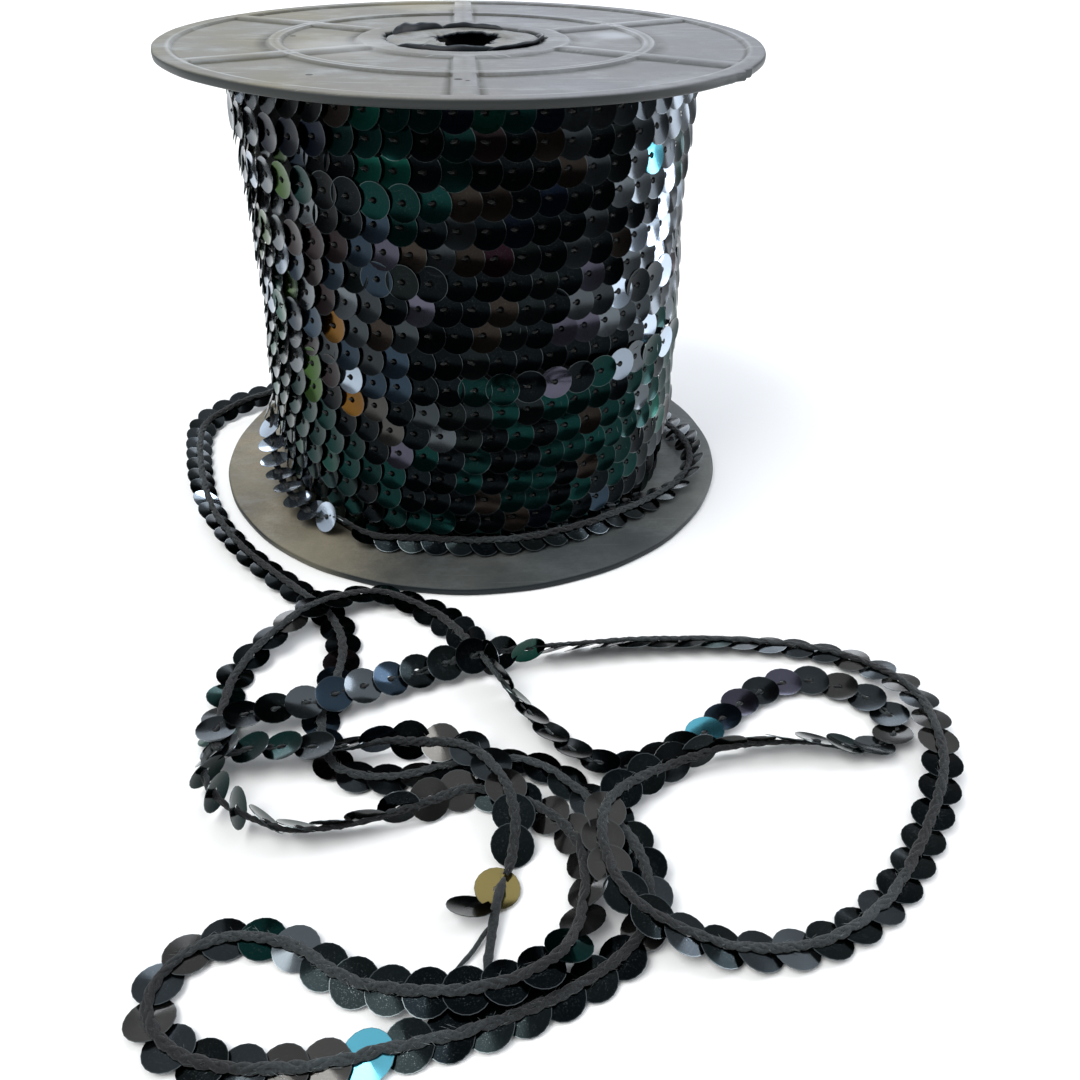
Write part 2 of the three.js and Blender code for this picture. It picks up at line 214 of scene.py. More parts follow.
# Stretches where the discs lift more than the rest: x, y, reach in mm, and the extra lean.
LOOSE_FLARES = [(-34, -95, 7.5, 50), (-37, -12, 12, 4), (-33, -24, 6, 8), (-53, -10, 22, 8)]


def flare(places):
    """The extra lean in radians at each place in millimetres."""
    more = np.zeros(len(places))
    for x, y, reach, degrees in LOOSE_FLARES:
        away = np.hypot(places[:, 0] - x, places[:, 1] - y) / reach
        more += math.radians(degrees) * np.exp(-away**4)
    return more


def raised(line):
    """The line lifted where a leaning or rolled disc would cut into what it lies on."""
    along, front, across = directions(line)
    lean = (LOOSE_LEAN + flare(line))[:, None]
    disc = front * np.cos(lean) - along * np.sin(lean)
    reach = SEQUIN_R * np.sqrt(1 - np.minimum(disc[:, 2] ** 2, 1)) + THREAD_ROOM
    ground = np.where(np.hypot(line[:, 0], line[:, 1]) < FLANGE_R + 0.5, FLANGE_THICK, 0)
    lifted = line.copy()
    lift = np.maximum(reach + ground - line[:, 2], 0)
    lifted[:, 2] += softened(lift, 10)
    return lifted


route = raised(route)
print("height of the loose trim in mm:", route[:, 2].min().round(2), "to", route[:, 2].max().round(2))

# %% [markdown]
# ## Small helpers
# Colours are written as the hex values seen on a screen, and one function turns them into the
# linear values that the shaders need. One more function adds a node with its settings and
# links, for materials and for Geometry Nodes alike. The four kinds of node that every pattern
# needs (noise, a change of range, a sum or product, and a mix of two colours) have short names,
# and so have a point at a radius and the net of faces between rows of points.

# %% Helpers for colours, nodes and meshes
RNG_SEED = 21


def linear(hex_colour):
    channels = [int(hex_colour[i:i + 2], 16) / 255 for i in (1, 3, 5)]
    return tuple(c / 12.92 if c <= 0.04045 else ((c + 0.055) / 1.055) ** 2.4 for c in channels) + (1.0,)


def socket(sockets, name):
    """The first socket in use that has this name."""
    return next(s for s in sockets if s.name == name and s.enabled)


def add_node(tree, kind, settings=None, **links):
    """Adds a node. Settings are its own properties; links give a value or a socket to each input."""
    node = tree.nodes.new(kind)
    for key, value in (settings or {}).items():
        setattr(node, key, value)
    for key, value in links.items():
        into = node.inputs[int(key[1:])] if key[0] == "_" else socket(node.inputs, key.replace("_", " "))
        if isinstance(value, bpy.types.NodeSocket):
            tree.links.new(value, into)
        else:
            into.default_value = value
    return node


def noise(tree, vector, scale, detail, **more):
    node = add_node(tree, "ShaderNodeTexNoise", Vector=vector, Scale=scale, Detail=detail, **more)
    return node.outputs[0]


def ranged(tree, value, low, high, to_low=0.0, to_high=1.0, curve="LINEAR"):
    return add_node(
        tree, "ShaderNodeMapRange", {"interpolation_type": curve}, Value=value,
        From_Min=low, From_Max=high, To_Min=to_low, To_Max=to_high,
    ).outputs[0]


def worked(tree, operation, first, second, clamp=False):
    settings = {"operation": operation, "use_clamp": clamp}
    return add_node(tree, "ShaderNodeMath", settings, _0=first, _1=second).outputs[0]


def mixed(tree, factor, first, second):
    node = add_node(tree, "ShaderNodeMix", {"data_type": "RGBA"}, Factor=factor, A=first, B=second)
    return socket(node.outputs, "Result")


def at_radius(radius, turn, height):
    """A point in metres from a radius and a height in mm and an angle."""
    return radius * MM * math.cos(turn), radius * MM * math.sin(turn), height * MM


def net_faces(rows, sides, closed=True, turned_over=False):
    """Four-sided faces between rows of points; closed joins the last row to the first."""
    faces = []
    for row in range(rows if closed else rows - 1):
        after = (row + 1) % rows
        for i in range(sides):
            j = (i + 1) % sides
            a, b, c, d = row * sides + i, row * sides + j, after * sides + j, after * sides + i
            faces.append((a, d, c, b) if turned_over else (a, b, c, d))
    return faces


def new_mesh(name, points, faces, smooth=True):
    mesh = bpy.data.meshes.new(name)
    mesh.from_pydata([tuple(p) for p in points], [], faces)
    mesh.polygons.foreach_set("use_smooth", [smooth] * len(mesh.polygons))
    mesh.update()
    return mesh


def place(name, mesh, *materials):
    piece = bpy.data.objects.new(name, mesh)
    for material in materials:
        if material.name not in [m.name for m in mesh.materials if m]:
            mesh.materials.append(material)
    bpy.context.scene.collection.objects.link(piece)
    return piece


def triangles(mesh):
    return sum(len(p.vertices) - 2 for p in mesh.polygons)


# %% [markdown]
# ## Materials: sequins
# A sequin is punched from glossy plastic film with a thin bright coating under a dark lacquer.
# What the eye gets is a mirror that returns only a little light, tinted dark green, navy,
# charcoal or brown, and a fine light line where the punched rim turns. So the film is metallic
# with a dark colour, which each disc carries as its own attribute; that colour is partly the
# film's own and partly painted reflection. The disc's own UV map gives the distance from its hole,
# for a painted highlight along the rim and for the dust that gathers round the thread; how
# dusty the disc is rides in the alpha of its colour.

# %% Sequin film


def new_material(name):
    """A material with an empty tree, and the Object coordinates that its patterns are drawn in."""
    material = bpy.data.materials.new(name)
    material.use_nodes = True
    tree = material.node_tree
    tree.nodes.clear()
    return material, tree, add_node(tree, "ShaderNodeTexCoord").outputs["Object"]


def surfaced(material, tree, colour, **looks):
    """The material, once its tree has its one shader."""
    shader = add_node(tree, "ShaderNodeBsdfPrincipled", Base_Color=colour, **looks)
    add_node(tree, "ShaderNodeOutputMaterial", Surface=shader.outputs[0])
    return material


def sequin_film():
    material, tree, spot = new_material("lacquered_sequin_film")
    tint = add_node(tree, "ShaderNodeAttribute", {"attribute_name": "tint_and_reflection"}).outputs
    on_disc = add_node(tree, "ShaderNodeUVMap", {"uv_map": "disc"}).outputs[0]
    from_hole = add_node(tree, "ShaderNodeSeparateXYZ", Vector=on_disc).outputs[0]
    # Painted highlight: every disc is lighter along its outer rim.
    rim_highlight = ranged(tree, from_hole, 0.965, 0.995, 0.0, 0.7)
    with_rim_highlight = mixed(tree, rim_highlight, tint["Color"], linear("#6b7375"))
    grains = noise(tree, spot, 7500.0, 2.0)
    patches = noise(tree, spot, 150.0, 3.0)
    near_hole = ranged(tree, from_hole, 0.8, 0.2, 0.25, 1.1)
    share = worked(tree, "MULTIPLY", worked(tree, "MULTIPLY", near_hole, patches), tint["Alpha"])
    dust = worked(tree, "MULTIPLY", share, ranged(tree, grains, 0.62, 0.72), clamp=True)
    dusty = mixed(tree, dust, with_rim_highlight, linear("#7c8486"))
    rough = ranged(tree, patches, 0.3, 0.7, 0.08, 0.22)
    bump = add_node(tree, "ShaderNodeBump", Strength=0.15, Distance=0.0001, Height=patches).outputs[0]
    return surfaced(material, tree, dusty, Metallic=0.95, Roughness=rough, Normal=bump)


SEQUIN_FILM = sequin_film()

# %% [markdown]
# ## Materials: thread
# The chain stitch is a dull spun thread that was dyed black and has faded to blue-green grey.
# It has no gloss. Lint and dust lighten it in spots of a third of a millimetre, and the fade
# comes and goes over a few centimetres. Loose fibres are paler than the thread, and the turns
# under the outer ones are the same thread in shade.

# %% Chain-stitch thread


def spun_thread(name, dark, light):
    material, tree, spot = new_material(name)
    lint = noise(tree, spot, 3200.0, 4.0, Roughness=0.8)
    fade = noise(tree, spot, 45.0, 2.0)
    mix = ranged(tree, worked(tree, "MULTIPLY", lint, fade), 0.2, 0.42)
    colour = mixed(tree, mix, linear(dark), linear(light))
    bump = add_node(tree, "ShaderNodeBump", Strength=0.8, Distance=0.0002, Height=lint).outputs[0]
    return surfaced(
        material, tree, colour, Roughness=0.92, Normal=bump, Sheen_Weight=0.12, Sheen_Roughness=0.5,
    )


THREAD = spun_thread("faded_black_spun_thread", "#05080a", "#333c3e")
LINT = spun_thread("pale_loose_lint", "#22292a", "#7d8787")
SHADED_THREAD = spun_thread("thread_in_painted_shade", "#020303", "#14191a")

# %% [markdown]
# ## Materials: spool plastic
# The spool is injection-moulded black polystyrene, matt from the mould and grey with dust.
# Dust lies on what looks up, warmer at the left and cooler at the right, in grit of about half a
# millimetre. The foot of each rib and ring is darkened with painted shade, and their crests are
# lightened with a painted highlight. Wiped smears, fine scratches, pits and stains lie over that,
# and on the lower flange patches of painted reflection, darker at the front and lighter at the left.

# %% Spool plastic


def moulded_plastic(name, body, cool_dust, warm_dust, dust_amount, scratches=0.35, smears=0.4, spots=()):
    """Spots are pits, stains and patches of painted reflection: x, y, z, radius and softness in mm, strength and
    colour.
    """
    material, tree, spot = new_material(name)
    facing = add_node(tree, "ShaderNodeNewGeometry").outputs["Normal"]
    upward = add_node(tree, "ShaderNodeSeparateXYZ", Vector=facing).outputs[2]
    level = ranged(tree, upward, 0.5, 0.97)
    clouds = noise(tree, spot, 55.0, 6.0, Roughness=0.65)
    cloudy = ranged(tree, clouds, 0.34, 0.66, 0.42 * dust_amount, dust_amount)
    gritty = ranged(tree, noise(tree, spot, 2600.0, 2.0), 0.3, 0.7, 0.85, 1.1)
    lying = worked(tree, "MULTIPLY", worked(tree, "MULTIPLY", cloudy, gritty), level, clamp=True)
    to_right = add_node(tree, "ShaderNodeSeparateXYZ", Vector=spot).outputs[0]
    warmth = ranged(tree, to_right, 0.012, -0.042, -0.3, 0.7)
    warm = worked(tree, "ADD", warmth, noise(tree, spot, 22.0, 3.0), clamp=True)
    dust = mixed(tree, warm, linear(cool_dust), linear(warm_dust))
    colour = mixed(tree, lying, linear(body), dust)
    painted_rib_light = add_node(tree, "ShaderNodeAttribute", {"attribute_name": "painted_rib_light"}).outputs["Vector"]
    painted_rib_marks = add_node(tree, "ShaderNodeSeparateXYZ", Vector=painted_rib_light).outputs
    # Painted shade at the foot of each rib and ring, and a painted highlight on their crests, read from an
    # attribute of the mesh.
    foot = worked(tree, "MULTIPLY", painted_rib_marks[0], ranged(tree, clouds, 0.35, 0.6, 0.35, 0.95))
    crest_highlight = worked(tree, "MULTIPLY", painted_rib_marks[1], ranged(tree, clouds, 0.65, 0.4, 0.0, 0.4))
    colour = mixed(tree, foot, colour, linear("#35352d"))
    colour = mixed(tree, crest_highlight, colour, linear("#a9adb0"))
    # Smears and scratches are noise drawn out along one direction: its turn and its scales.
    for turn, scale, detail, extra, low, high, strength, tone in (
        (-0.35, (75.0, 120.0, 75.0), 5.0, {"Roughness": 0.7}, 0.5, 0.72, smears, "#9aa1a3"),
        (0.6, (60.0, 2600.0, 60.0), 2.0, {}, 0.64, 0.74, scratches, "#c4c8ca"),
    ):
        drawn = add_node(tree, "ShaderNodeMapping", Vector=spot, Rotation=(0.0, 0.0, turn), Scale=scale)
        streaks = noise(tree, drawn.outputs[0], 1.0, detail, **extra)
        marked = worked(tree, "MULTIPLY", ranged(tree, streaks, low, high, 0.0, strength), level)
        colour = mixed(tree, marked, colour, linear(tone))
    for x, y, z, radius, soft, strength, tone in spots:
        middle = (x * MM, y * MM, z * MM)
        away = add_node(tree, "ShaderNodeVectorMath", {"operation": "DISTANCE"}, _0=spot, _1=middle)
        spot_mark = ranged(
            tree, away.outputs["Value"], (radius + soft) * MM, radius * MM, 0.0, strength, "SMOOTHSTEP",
        )
        colour = mixed(tree, spot_mark, colour, linear(tone))
    rough = ranged(tree, lying, 0.0, 1.0, 0.42, 0.78)
    bump = add_node(tree, "ShaderNodeBump", Strength=0.3, Distance=0.0002, Height=clouds).outputs[0]
    return surfaced(
        material, tree, colour, Roughness=rough, Normal=bump, IOR=1.5, Specular_IOR_Level=0.2,
    )


PIT_PLACES = [
    (-27.6, 19.4, 0.45), (-28.7, 3, 0.45), (-21.8, -32, 0.45), (-0.9, -36.8, 0.6), (0.4, -37.7, 0.4),
]
PITS = [(x, y, 79, radius, 0.2, 1.0, "#0c0c0d") for x, y, radius in PIT_PLACES]
TOP_STAINS = [
    (-20, -8, 79, 3, 9, 0.35, "#a9abad"), (30, -20, 79, 2, 12, 0.3, "#55595a"),
    (26, 6, 79, 1, 5, 0.4, "#b3b9bf"), (-8, 44, 79, 2, 12, 0.4, "#8d8462"),
    (-38, 14, 79, 2, 10, 0.35, "#5d5e59"), (-14, 34, 79, 1, 8, 0.3, "#4d4e4a"),
]
# The first three spots are painted reflection: the front of the lower flange darker, its left lighter.
LOW_STAINS_AND_PAINTED_REFLECTION = [
    (10, -46, 1, 16, 26, 0.62, "#20282b"), (-30, -38, 1, 3, 9, 0.35, "#8b8672"),
    (-44, -12, 1, 2, 10, 0.3, "#6b675a"), (44, -18, 1, 3, 12, 0.35, "#6c6f6c"),
]
UPPER_PLASTIC = moulded_plastic(
    "dusty_polystyrene_with_painted_rib_light", "#333635", "#76787e", "#736f5f", 0.97, 0.25, 0.35, PITS + TOP_STAINS,
)
LOWER_PLASTIC = moulded_plastic(
    "grimy_polystyrene_with_painted_light", "#1b1f21", "#5a6366", "#8b8370", 0.95, 0.12, 0.3, LOW_STAINS_AND_PAINTED_REFLECTION,
)
TORN_SKIN = moulded_plastic("torn_grey_moulding_skin", "#343a40", "#767570", "#7e7b6c", 0.95)
CURLED_SKIN = moulded_plastic("curled_dark_moulding_skin", "#0d1317", "#3c4d5c", "#2d363d", 0.4)
print("materials:", [m.name for m in bpy.data.materials])

# %% [markdown]
# ## One sequin
# A cup sequin is a disc just under 6 mm across with a hole in its middle and a shallow bowl,
# 0.3 mm deep here because pressed turns flatten it. It has real thickness, so its rim catches
# a line of light. It is repeated some 1300 times, so it has only 100 faces.

# %% The sequin that is repeated
SEQUIN_SIDES = 20
SEQUIN_FRONT = [(0.52, 0.06), (1.9, 0.14), (2.86, 0.33)]  # radius and height, mm
SEQUIN_BACK = [(SEQUIN_R, 0.24), (0.52, -0.06)]


def sequin_mesh():
    rings = SEQUIN_FRONT + SEQUIN_BACK
    turns = [2 * math.pi * i / SEQUIN_SIDES for i in range(SEQUIN_SIDES)]
    points = [at_radius(radius, turn, height) for radius, height in rings for turn in turns]
    mesh = new_mesh("cup_sequin", points, net_faces(len(rings), SEQUIN_SIDES, turned_over=True))
    sharp_rings = (0, len(SEQUIN_FRONT) - 1, len(SEQUIN_FRONT), len(rings) - 1)
    for edge in mesh.edges:
        a, b = (v // SEQUIN_SIDES for v in edge.vertices)
        edge.use_edge_sharp = a == b and a in sharp_rings
    share = mesh.uv_layers.new(name="disc")
    for loop in mesh.loops:
        ring, side = divmod(loop.vertex_index, SEQUIN_SIDES)
        share.data[loop.index].uv = (rings[ring][0] / SEQUIN_R, side / SEQUIN_SIDES)
    return mesh


SEQUIN = place("cup_sequin_pattern", sequin_mesh(), SEQUIN_FILM)
print("faces in one sequin:", len(SEQUIN.data.polygons))

# %% [markdown]
# ## The Geometry Nodes that set the discs
# Each disc is a point. Its attributes say which way the strip runs, which way its sequin side
# looks, and by how much it is turned on top of that. The tree makes a rotation of them, leans
# each disc over the next one, adds a small seeded wobble, and places the pattern. It ends in real
# mesh, because a viewer that knows no instances must show the same thing. The same tree sets the
# stitches of the thread.

# %% Node tree: things chained along a line


def chain_tree():
    tree = bpy.data.node_groups.new("chained_along_a_line", "GeometryNodeTree")
    for name, kind in (
        ("Points", "NodeSocketGeometry"), ("Pattern", "NodeSocketObject"), ("Finish", "NodeSocketMaterial"),
        ("Lean", "NodeSocketFloat"), ("Wobble", "NodeSocketFloat"), ("Size wobble", "NodeSocketFloat"),
        ("Seed", "NodeSocketInt"),
    ):
        tree.interface.new_socket(name, in_out="INPUT", socket_type=kind)
    tree.interface.new_socket("Mesh", in_out="OUTPUT", socket_type="NodeSocketGeometry")
    given = add_node(tree, "NodeGroupInput").outputs
    front, along, own_turn = (
        socket(
            add_node(
                tree, "GeometryNodeInputNamedAttribute", {"data_type": "FLOAT_VECTOR"}, Name=name,
            ).outputs, "Attribute",
        )
        for name in ("front", "along", "turn")
    )
    facing = add_node(
        tree, "FunctionNodeAxesToRotation", {"primary_axis": "Z", "secondary_axis": "X"},
        Primary_Axis=front, Secondary_Axis=along,
    )

    def drawn(low, high, seed):
        node = add_node(
            tree, "FunctionNodeRandomValue", {"data_type": "FLOAT"}, Min=low, Max=high, Seed=seed,
        )
        return socket(node.outputs, "Value")

    less = worked(tree, "MULTIPLY", given["Wobble"], -1.0)
    seeds = [
        add_node(
            tree, "FunctionNodeIntegerMath", {"operation": "ADD"}, _0=given["Seed"], _1=number,
        ).outputs[0]
        for number in range(3)
    ]
    tips = [drawn(less, given["Wobble"], seed) for seed in seeds]
    leaned = worked(tree, "SUBTRACT", tips[1], given["Lean"])
    turn = add_node(tree, "ShaderNodeCombineXYZ", X=tips[0], Y=leaned, Z=tips[2])
    all_turn = add_node(
        tree, "ShaderNodeVectorMath", {"operation": "ADD"}, _0=turn.outputs[0], _1=own_turn,
    )
    local = add_node(tree, "FunctionNodeEulerToRotation", Euler=all_turn.outputs[0])
    rotation = add_node(
        tree, "FunctionNodeRotateRotation", {"rotation_space": "LOCAL"},
        Rotation=facing.outputs[0], Rotate_By=local.outputs[0],
    )
    size = drawn(worked(tree, "SUBTRACT", 1.0, given["Size wobble"]), 1.0, given["Seed"])
    pattern = add_node(tree, "GeometryNodeObjectInfo", Object=given["Pattern"])
    placed = add_node(
        tree, "GeometryNodeInstanceOnPoints", Points=given["Points"],
        Instance=pattern.outputs["Geometry"], Rotation=rotation.outputs[0], Scale=size,
    )
    solid = add_node(tree, "GeometryNodeRealizeInstances", Geometry=placed.outputs[0])
    finished = add_node(
        tree, "GeometryNodeSetMaterial", Geometry=solid.outputs[0], Material=given["Finish"],
    )
    add_node(tree, "NodeGroupOutput", Mesh=finished.outputs[0])
    return tree


CHAIN = chain_tree()


def chained(name, points, pattern, finish, lean=0.0, wobble=0.0, size_wobble=0.0, seed=RNG_SEED):
    """A plain mesh with the pattern at each point. Points is a dict of arrays, one row a point."""
    dots = new_mesh(name + "_points", points["place"], [])
    for key, kind in (("front", "FLOAT_VECTOR"), ("along", "FLOAT_VECTOR"), ("turn", "FLOAT_VECTOR"),
                      ("tint_and_reflection", "FLOAT_COLOR")):
        if key in points:
            layer = dots.attributes.new(key, kind, "POINT")
            field = "color" if kind == "FLOAT_COLOR" else "vector"
            layer.data.foreach_set(field, np.asarray(points[key], np.float32).ravel())
    host = place(name + "_host", dots)
    modifier = host.modifiers.new("chain", "NODES")
    modifier.node_group = CHAIN
    values = {"Pattern": pattern, "Finish": finish, "Lean": lean, "Wobble": wobble,
              "Size wobble": size_wobble, "Seed": seed}
    for item in CHAIN.interface.items_tree:
        if item.item_type == "SOCKET" and item.in_out == "INPUT" and item.name in values:
            modifier[item.identifier] = values[item.name]
    bpy.context.view_layer.update()
    mesh = bpy.data.meshes.new_from_object(host.evaluated_get(bpy.context.evaluated_depsgraph_get()))
    mesh.name = name
    bpy.data.objects.remove(host)
    return mesh


print("nodes in the tree:", len(CHAIN.nodes))

# %% [markdown]
# ## The loose trim
# About 250 discs follow the route, one every 4.35 mm, so that each covers a quarter of the
# next. The trim was dyed in one lot, but each disc returns a different part of the room, so
# each one takes its own tint from a short list of colours: the film's own dark colour with a
# painted reflection over it, lighter where the disc would return a bright part of the room.

# %% Discs of the loose trim
FILM_TINTS_AND_REFLECTIONS = {
    "ink": "#04090c", "navy": "#070f1b", "teal": "#03211f", "green": "#07382f", "soot": "#101617",
    "charcoal": "#2a2f32", "smoke": "#3f3e3c", "grey": "#50565a", "slate": "#24303b", "brown": "#1f181a",
    "umber": "#25201c", "silver": "#848f9b", "pale": "#bccada", "cyan": "#5fb0c4", "gold": "#5c3f16",
    "pale_gold": "#8f8150", "leaf": "#2d461a", "wine": "#1a0b12", "lilac": "#43424e",
}
LOOSE_MIX = {"ink": 4, "soot": 5, "charcoal": 2, "smoke": 1, "teal": 1}
LOOSE_PATCH_FILL = 1.6  # above 1, so that a patch is full round its middle
# Stretches with a tint of their own, film colour and painted reflection; the pale and silver ones are painted
# reflection: x, y, reach in mm, and the mix.
LOOSE_TINT_AND_REFLECTION_PATCHES = [
    (-32, -127, 19, {"smoke": 4, "charcoal": 2}), (-6, -122, 13, {"soot": 4, "ink": 2, "teal": 1}),
    (12, -109, 6, {"smoke": 6}), (-18, -77, 9, {"slate": 4, "grey": 1}), (-28, -77, 5, {"smoke": 3, "grey": 1}),
    (-35, -86, 3, {"charcoal": 1}), (-29, -86, 4, {"teal": 3, "ink": 1}), (-6, -73, 5, {"navy": 3, "ink": 2}),
    (4, -68, 7, {"teal": 4, "ink": 2}), (-37, -93, 7, {"green": 3, "teal": 1}),
    (-37.5, -87, 3, {"charcoal": 2, "grey": 1}), (-26, -99, 8, {"teal": 4, "green": 2}),
    (38, -80, 9, {"smoke": 3, "charcoal": 2}),
    (52, -78, 9, {"lilac": 2, "smoke": 3, "charcoal": 1}), (57, -88, 5, {"lilac": 3, "soot": 1}),
    (45, -89, 7, {"green": 2, "teal": 3}), (4, -75, 6, {"green": 3, "teal": 1}),
    (62, -78, 14, {"charcoal": 3, "smoke": 3}),
    (40, -118, 14, {"soot": 3, "charcoal": 3}), (-54, -5, 20, {"charcoal": 4, "soot": 2}),
    (0, -40, 30, {"ink": 3, "soot": 4}),
    (-38, -15, 9, {"pale": 3, "silver": 2}), (-31, -27, 6, {"pale": 2, "silver": 2}),
    (-3, -88, 6, {"charcoal": 3, "smoke": 2}),
]
tint_names = list(FILM_TINTS_AND_REFLECTIONS)
tint_colours = np.array([linear(FILM_TINTS_AND_REFLECTIONS[name]) for name in tint_names])
rng = np.random.default_rng(RNG_SEED)


def draw_tints(weights, count):
    """Random tints, film colour and painted reflection, one a disc, each with its own small change of brightness.
    """
    share = np.array([weights.get(name, 0) for name in tint_names], float)
    picks = rng.choice(len(tint_names), size=count, p=share / share.sum())
    colours = tint_colours[picks].copy()
    colours[:, :3] *= rng.uniform(0.7, 1.3, (count, 1))
    return colours


def strip_points(line, pitch):
    """Places and directions for discs along a line in millimetres."""
    spaced = evenly(line, pitch)
    along, front, across = directions(spaced)
    return {"place": spaced[:, :3] * MM, "along": along, "front": front,
            "turn": np.zeros((len(spaced), 3)), "tint_and_reflection": draw_tints(LOOSE_MIX, len(spaced))}


BARE_END = 4.5  # mm of thread without discs at the end of the route
disc_route = route[: round(-BARE_END / ROUTE_STEP)]
loose_points = strip_points(disc_route, LOOSE_PITCH)
loose_place = loose_points["place"] / MM
for x, y, reach, mix in LOOSE_TINT_AND_REFLECTION_PATCHES:
    away = np.hypot(loose_place[:, 0] - x, loose_place[:, 1] - y) / reach
    inside = rng.uniform(size=len(away)) < LOOSE_PATCH_FILL * np.exp(-away**2)
    loose_points["tint_and_reflection"][inside] = draw_tints(mix, inside.sum())
# Painted glints: discs that the picture shows catching the light, given a lighter tint: x and y in mm, and their
# tint.
LOOSE_PAINTED_GLINTS = [
    (32, -85.9, "cyan"), (36.5, -82, "slate"), (-11.4, -130.4, "cyan"), (36.5, -119, "grey"),
    (-23.2, -116.4, "grey"), (-18.6, -65.1, "brown"), (56.3, -89.3, "grey"), (-20.5, -87.4, "brown"),
    (-36.9, -91.4, "teal"), (-35.2, -95.2, "teal"), (-32.3, -97.8, "teal"), (-28.9, -99.3, "teal"),
    (-25.5, -100.5, "teal"),
]
for x, y, tint_and_reflection in LOOSE_PAINTED_GLINTS:
    away = np.hypot(loose_place[:, 0] - x, loose_place[:, 1] - y)
    loose_points["tint_and_reflection"][away.argmin()] = linear(FILM_TINTS_AND_REFLECTIONS[tint_and_reflection])
loose_points["turn"][:, 1] -= flare(loose_place)
loose_mesh = chained(
    "loose_trim", loose_points, SEQUIN, SEQUIN_FILM,
    lean=LOOSE_LEAN, wobble=math.radians(3.5), size_wobble=0.03,
)
print("discs on the loose trim:", len(loose_points["place"]), "triangles:", triangles(loose_mesh))

# %% [markdown]
# ## The chained thread
# At the back of the strip a chain stitch runs down the middle as a fuzzy ridge 1.5 mm wide. It
# is three soft plies that cross as in a flat braid, each a tube of its own, with loose fibres
# that stand off them. A disc that shows its front has only a knot at its hole.

# %% The ridge along the back, and knots at the holes
RIDGE_STEP = 0.7
RIDGE_TWIST = 5.2  # mm in which a ply crosses over and back
PLY_COUNT = 3
PLY_WIDTH, PLY_THICK = 0.74, 0.5


def tube_mesh(name, line, width, thick, sides=6, ends=0.35):
    """A closed tube along a line in mm, thinner at both ends."""
    line = np.array(line)
    along = np.gradient(line, axis=0)
    along /= np.linalg.norm(along, axis=1)[:, None]
    left = np.cross(np.array([0, 0, 1.0]), along)
    left /= np.linalg.norm(left, axis=1)[:, None]
    up = np.cross(along, left)
    count = len(line)
    number = np.arange(count) * 1.0
    taper = np.clip(np.minimum(number, count - 1 - number) / 3, 0, 1)
    fat = (ends + (1 - ends) * taper) * rng.uniform(0.9, 1.1, count)
    points = []
    for k, centre in enumerate(line):
        for i in range(sides):
            turn = 2 * math.pi * i / sides
            out = left[k] * width / 2 * math.cos(turn) + up[k] * thick / 2 * math.sin(turn)
            points.append((centre + fat[k] * out) * MM)
    caps = [tuple(range(sides))[::-1], tuple(range(len(points) - sides, len(points)))]
    return new_mesh(name, points, caps + net_faces(count, sides, closed=False))


def ply_line(line, number):
    """The way of one ply: it crosses from side to side on the back of the strip."""
    spaced = evenly(line, RIDGE_STEP)
    along, front, across = directions(spaced)
    run = np.arange(len(spaced)) * RIDGE_STEP
    drift = 0.5 * np.sin(run / 17 + number) + 0.3 * np.sin(run / 7.3 + 2 * number)
    turn = 2 * math.pi * (run / RIDGE_TWIST + number / PLY_COUNT) + drift
    side = 0.38 * np.sin(turn) + 0.1 * np.sin(run / 5.3) + 0.05 * np.sin(run / 1.9 + number)
    depth = 0.34 + 0.1 * np.cos(2 * turn) + 0.05 * np.sin(run / 2.3 + 2 * number)
    return spaced[:, :3] + across * side[:, None] - front * depth[:, None]


plies = [tube_mesh(f"ply_{n}", ply_line(route, n), PLY_WIDTH, PLY_THICK) for n in range(PLY_COUNT)]
for mesh in plies:
    mesh.materials.append(THREAD)


def drop_mesh(name, length, width, thick, sides=6, rings=5):
    """A closed, rounded drop that lies along X."""
    points = [(-length / 2, 0, 0)]
    for ring in range(1, rings):
        share = ring / rings
        fat = math.sin(math.pi * share**0.85) ** 0.7
        for i in range(sides):
            turn = 2 * math.pi * i / sides
            across, up = fat * width / 2 * math.cos(turn), fat * thick / 2 * math.sin(turn)
            points.append(((share - 0.5) * length, across, up))
    points.append((length / 2, 0, 0))
    last = len(points) - 1
    faces = []
    for i in range(sides):
        j = (i + 1) % sides
        faces.append((0, 1 + j, 1 + i))
        for ring in range(rings - 2):
            a, b = 1 + ring * sides, 1 + (ring + 1) * sides
            faces.append((a + i, a + j, b + j, b + i))
        faces.append((last, last - sides + i, last - sides + j))
    return new_mesh(name, [Vector(p) * MM for p in points], faces)


KNOT = place("knot_pattern", drop_mesh("knot", 1.35, 0.5, 0.42), THREAD)
FIBRE = place("fibre_pattern", drop_mesh("fibre", 1.7, 0.09, 0.07, sides=3, rings=3), LINT)
FIBRE_PITCH = 0.32
KNOT_OUT, KNOT_BACK = 0.1, 0.35  # from the middle of the hole


def knot_points(points, lean):
    """A knot in each hole, with its tail towards the disc before."""
    facing = points["front"] * math.cos(lean) - points["along"] * math.sin(lean)
    flat = points["along"] * math.cos(lean) + points["front"] * math.sin(lean)
    spot = points["place"] + facing * KNOT_OUT * MM - flat * KNOT_BACK * MM
    return {"place": spot, "along": flat, "front": facing, "turn": np.zeros_like(spot)}


def fibre_points(line):
    spaced = evenly(line, FIBRE_PITCH)
    along, front, across = directions(spaced)
    count = len(spaced)
    side = rng.uniform(-0.7, 0.7, count)
    spot = spaced[:, :3] + across * side[:, None] - front * rng.uniform(0.3, 0.6, count)[:, None]
    turn = np.stack([0 * side, rng.uniform(-0.4, 0.4, count), rng.uniform(-0.9, 0.9, count)], 1)
    return {"place": spot * MM, "along": along, "front": front, "turn": turn}


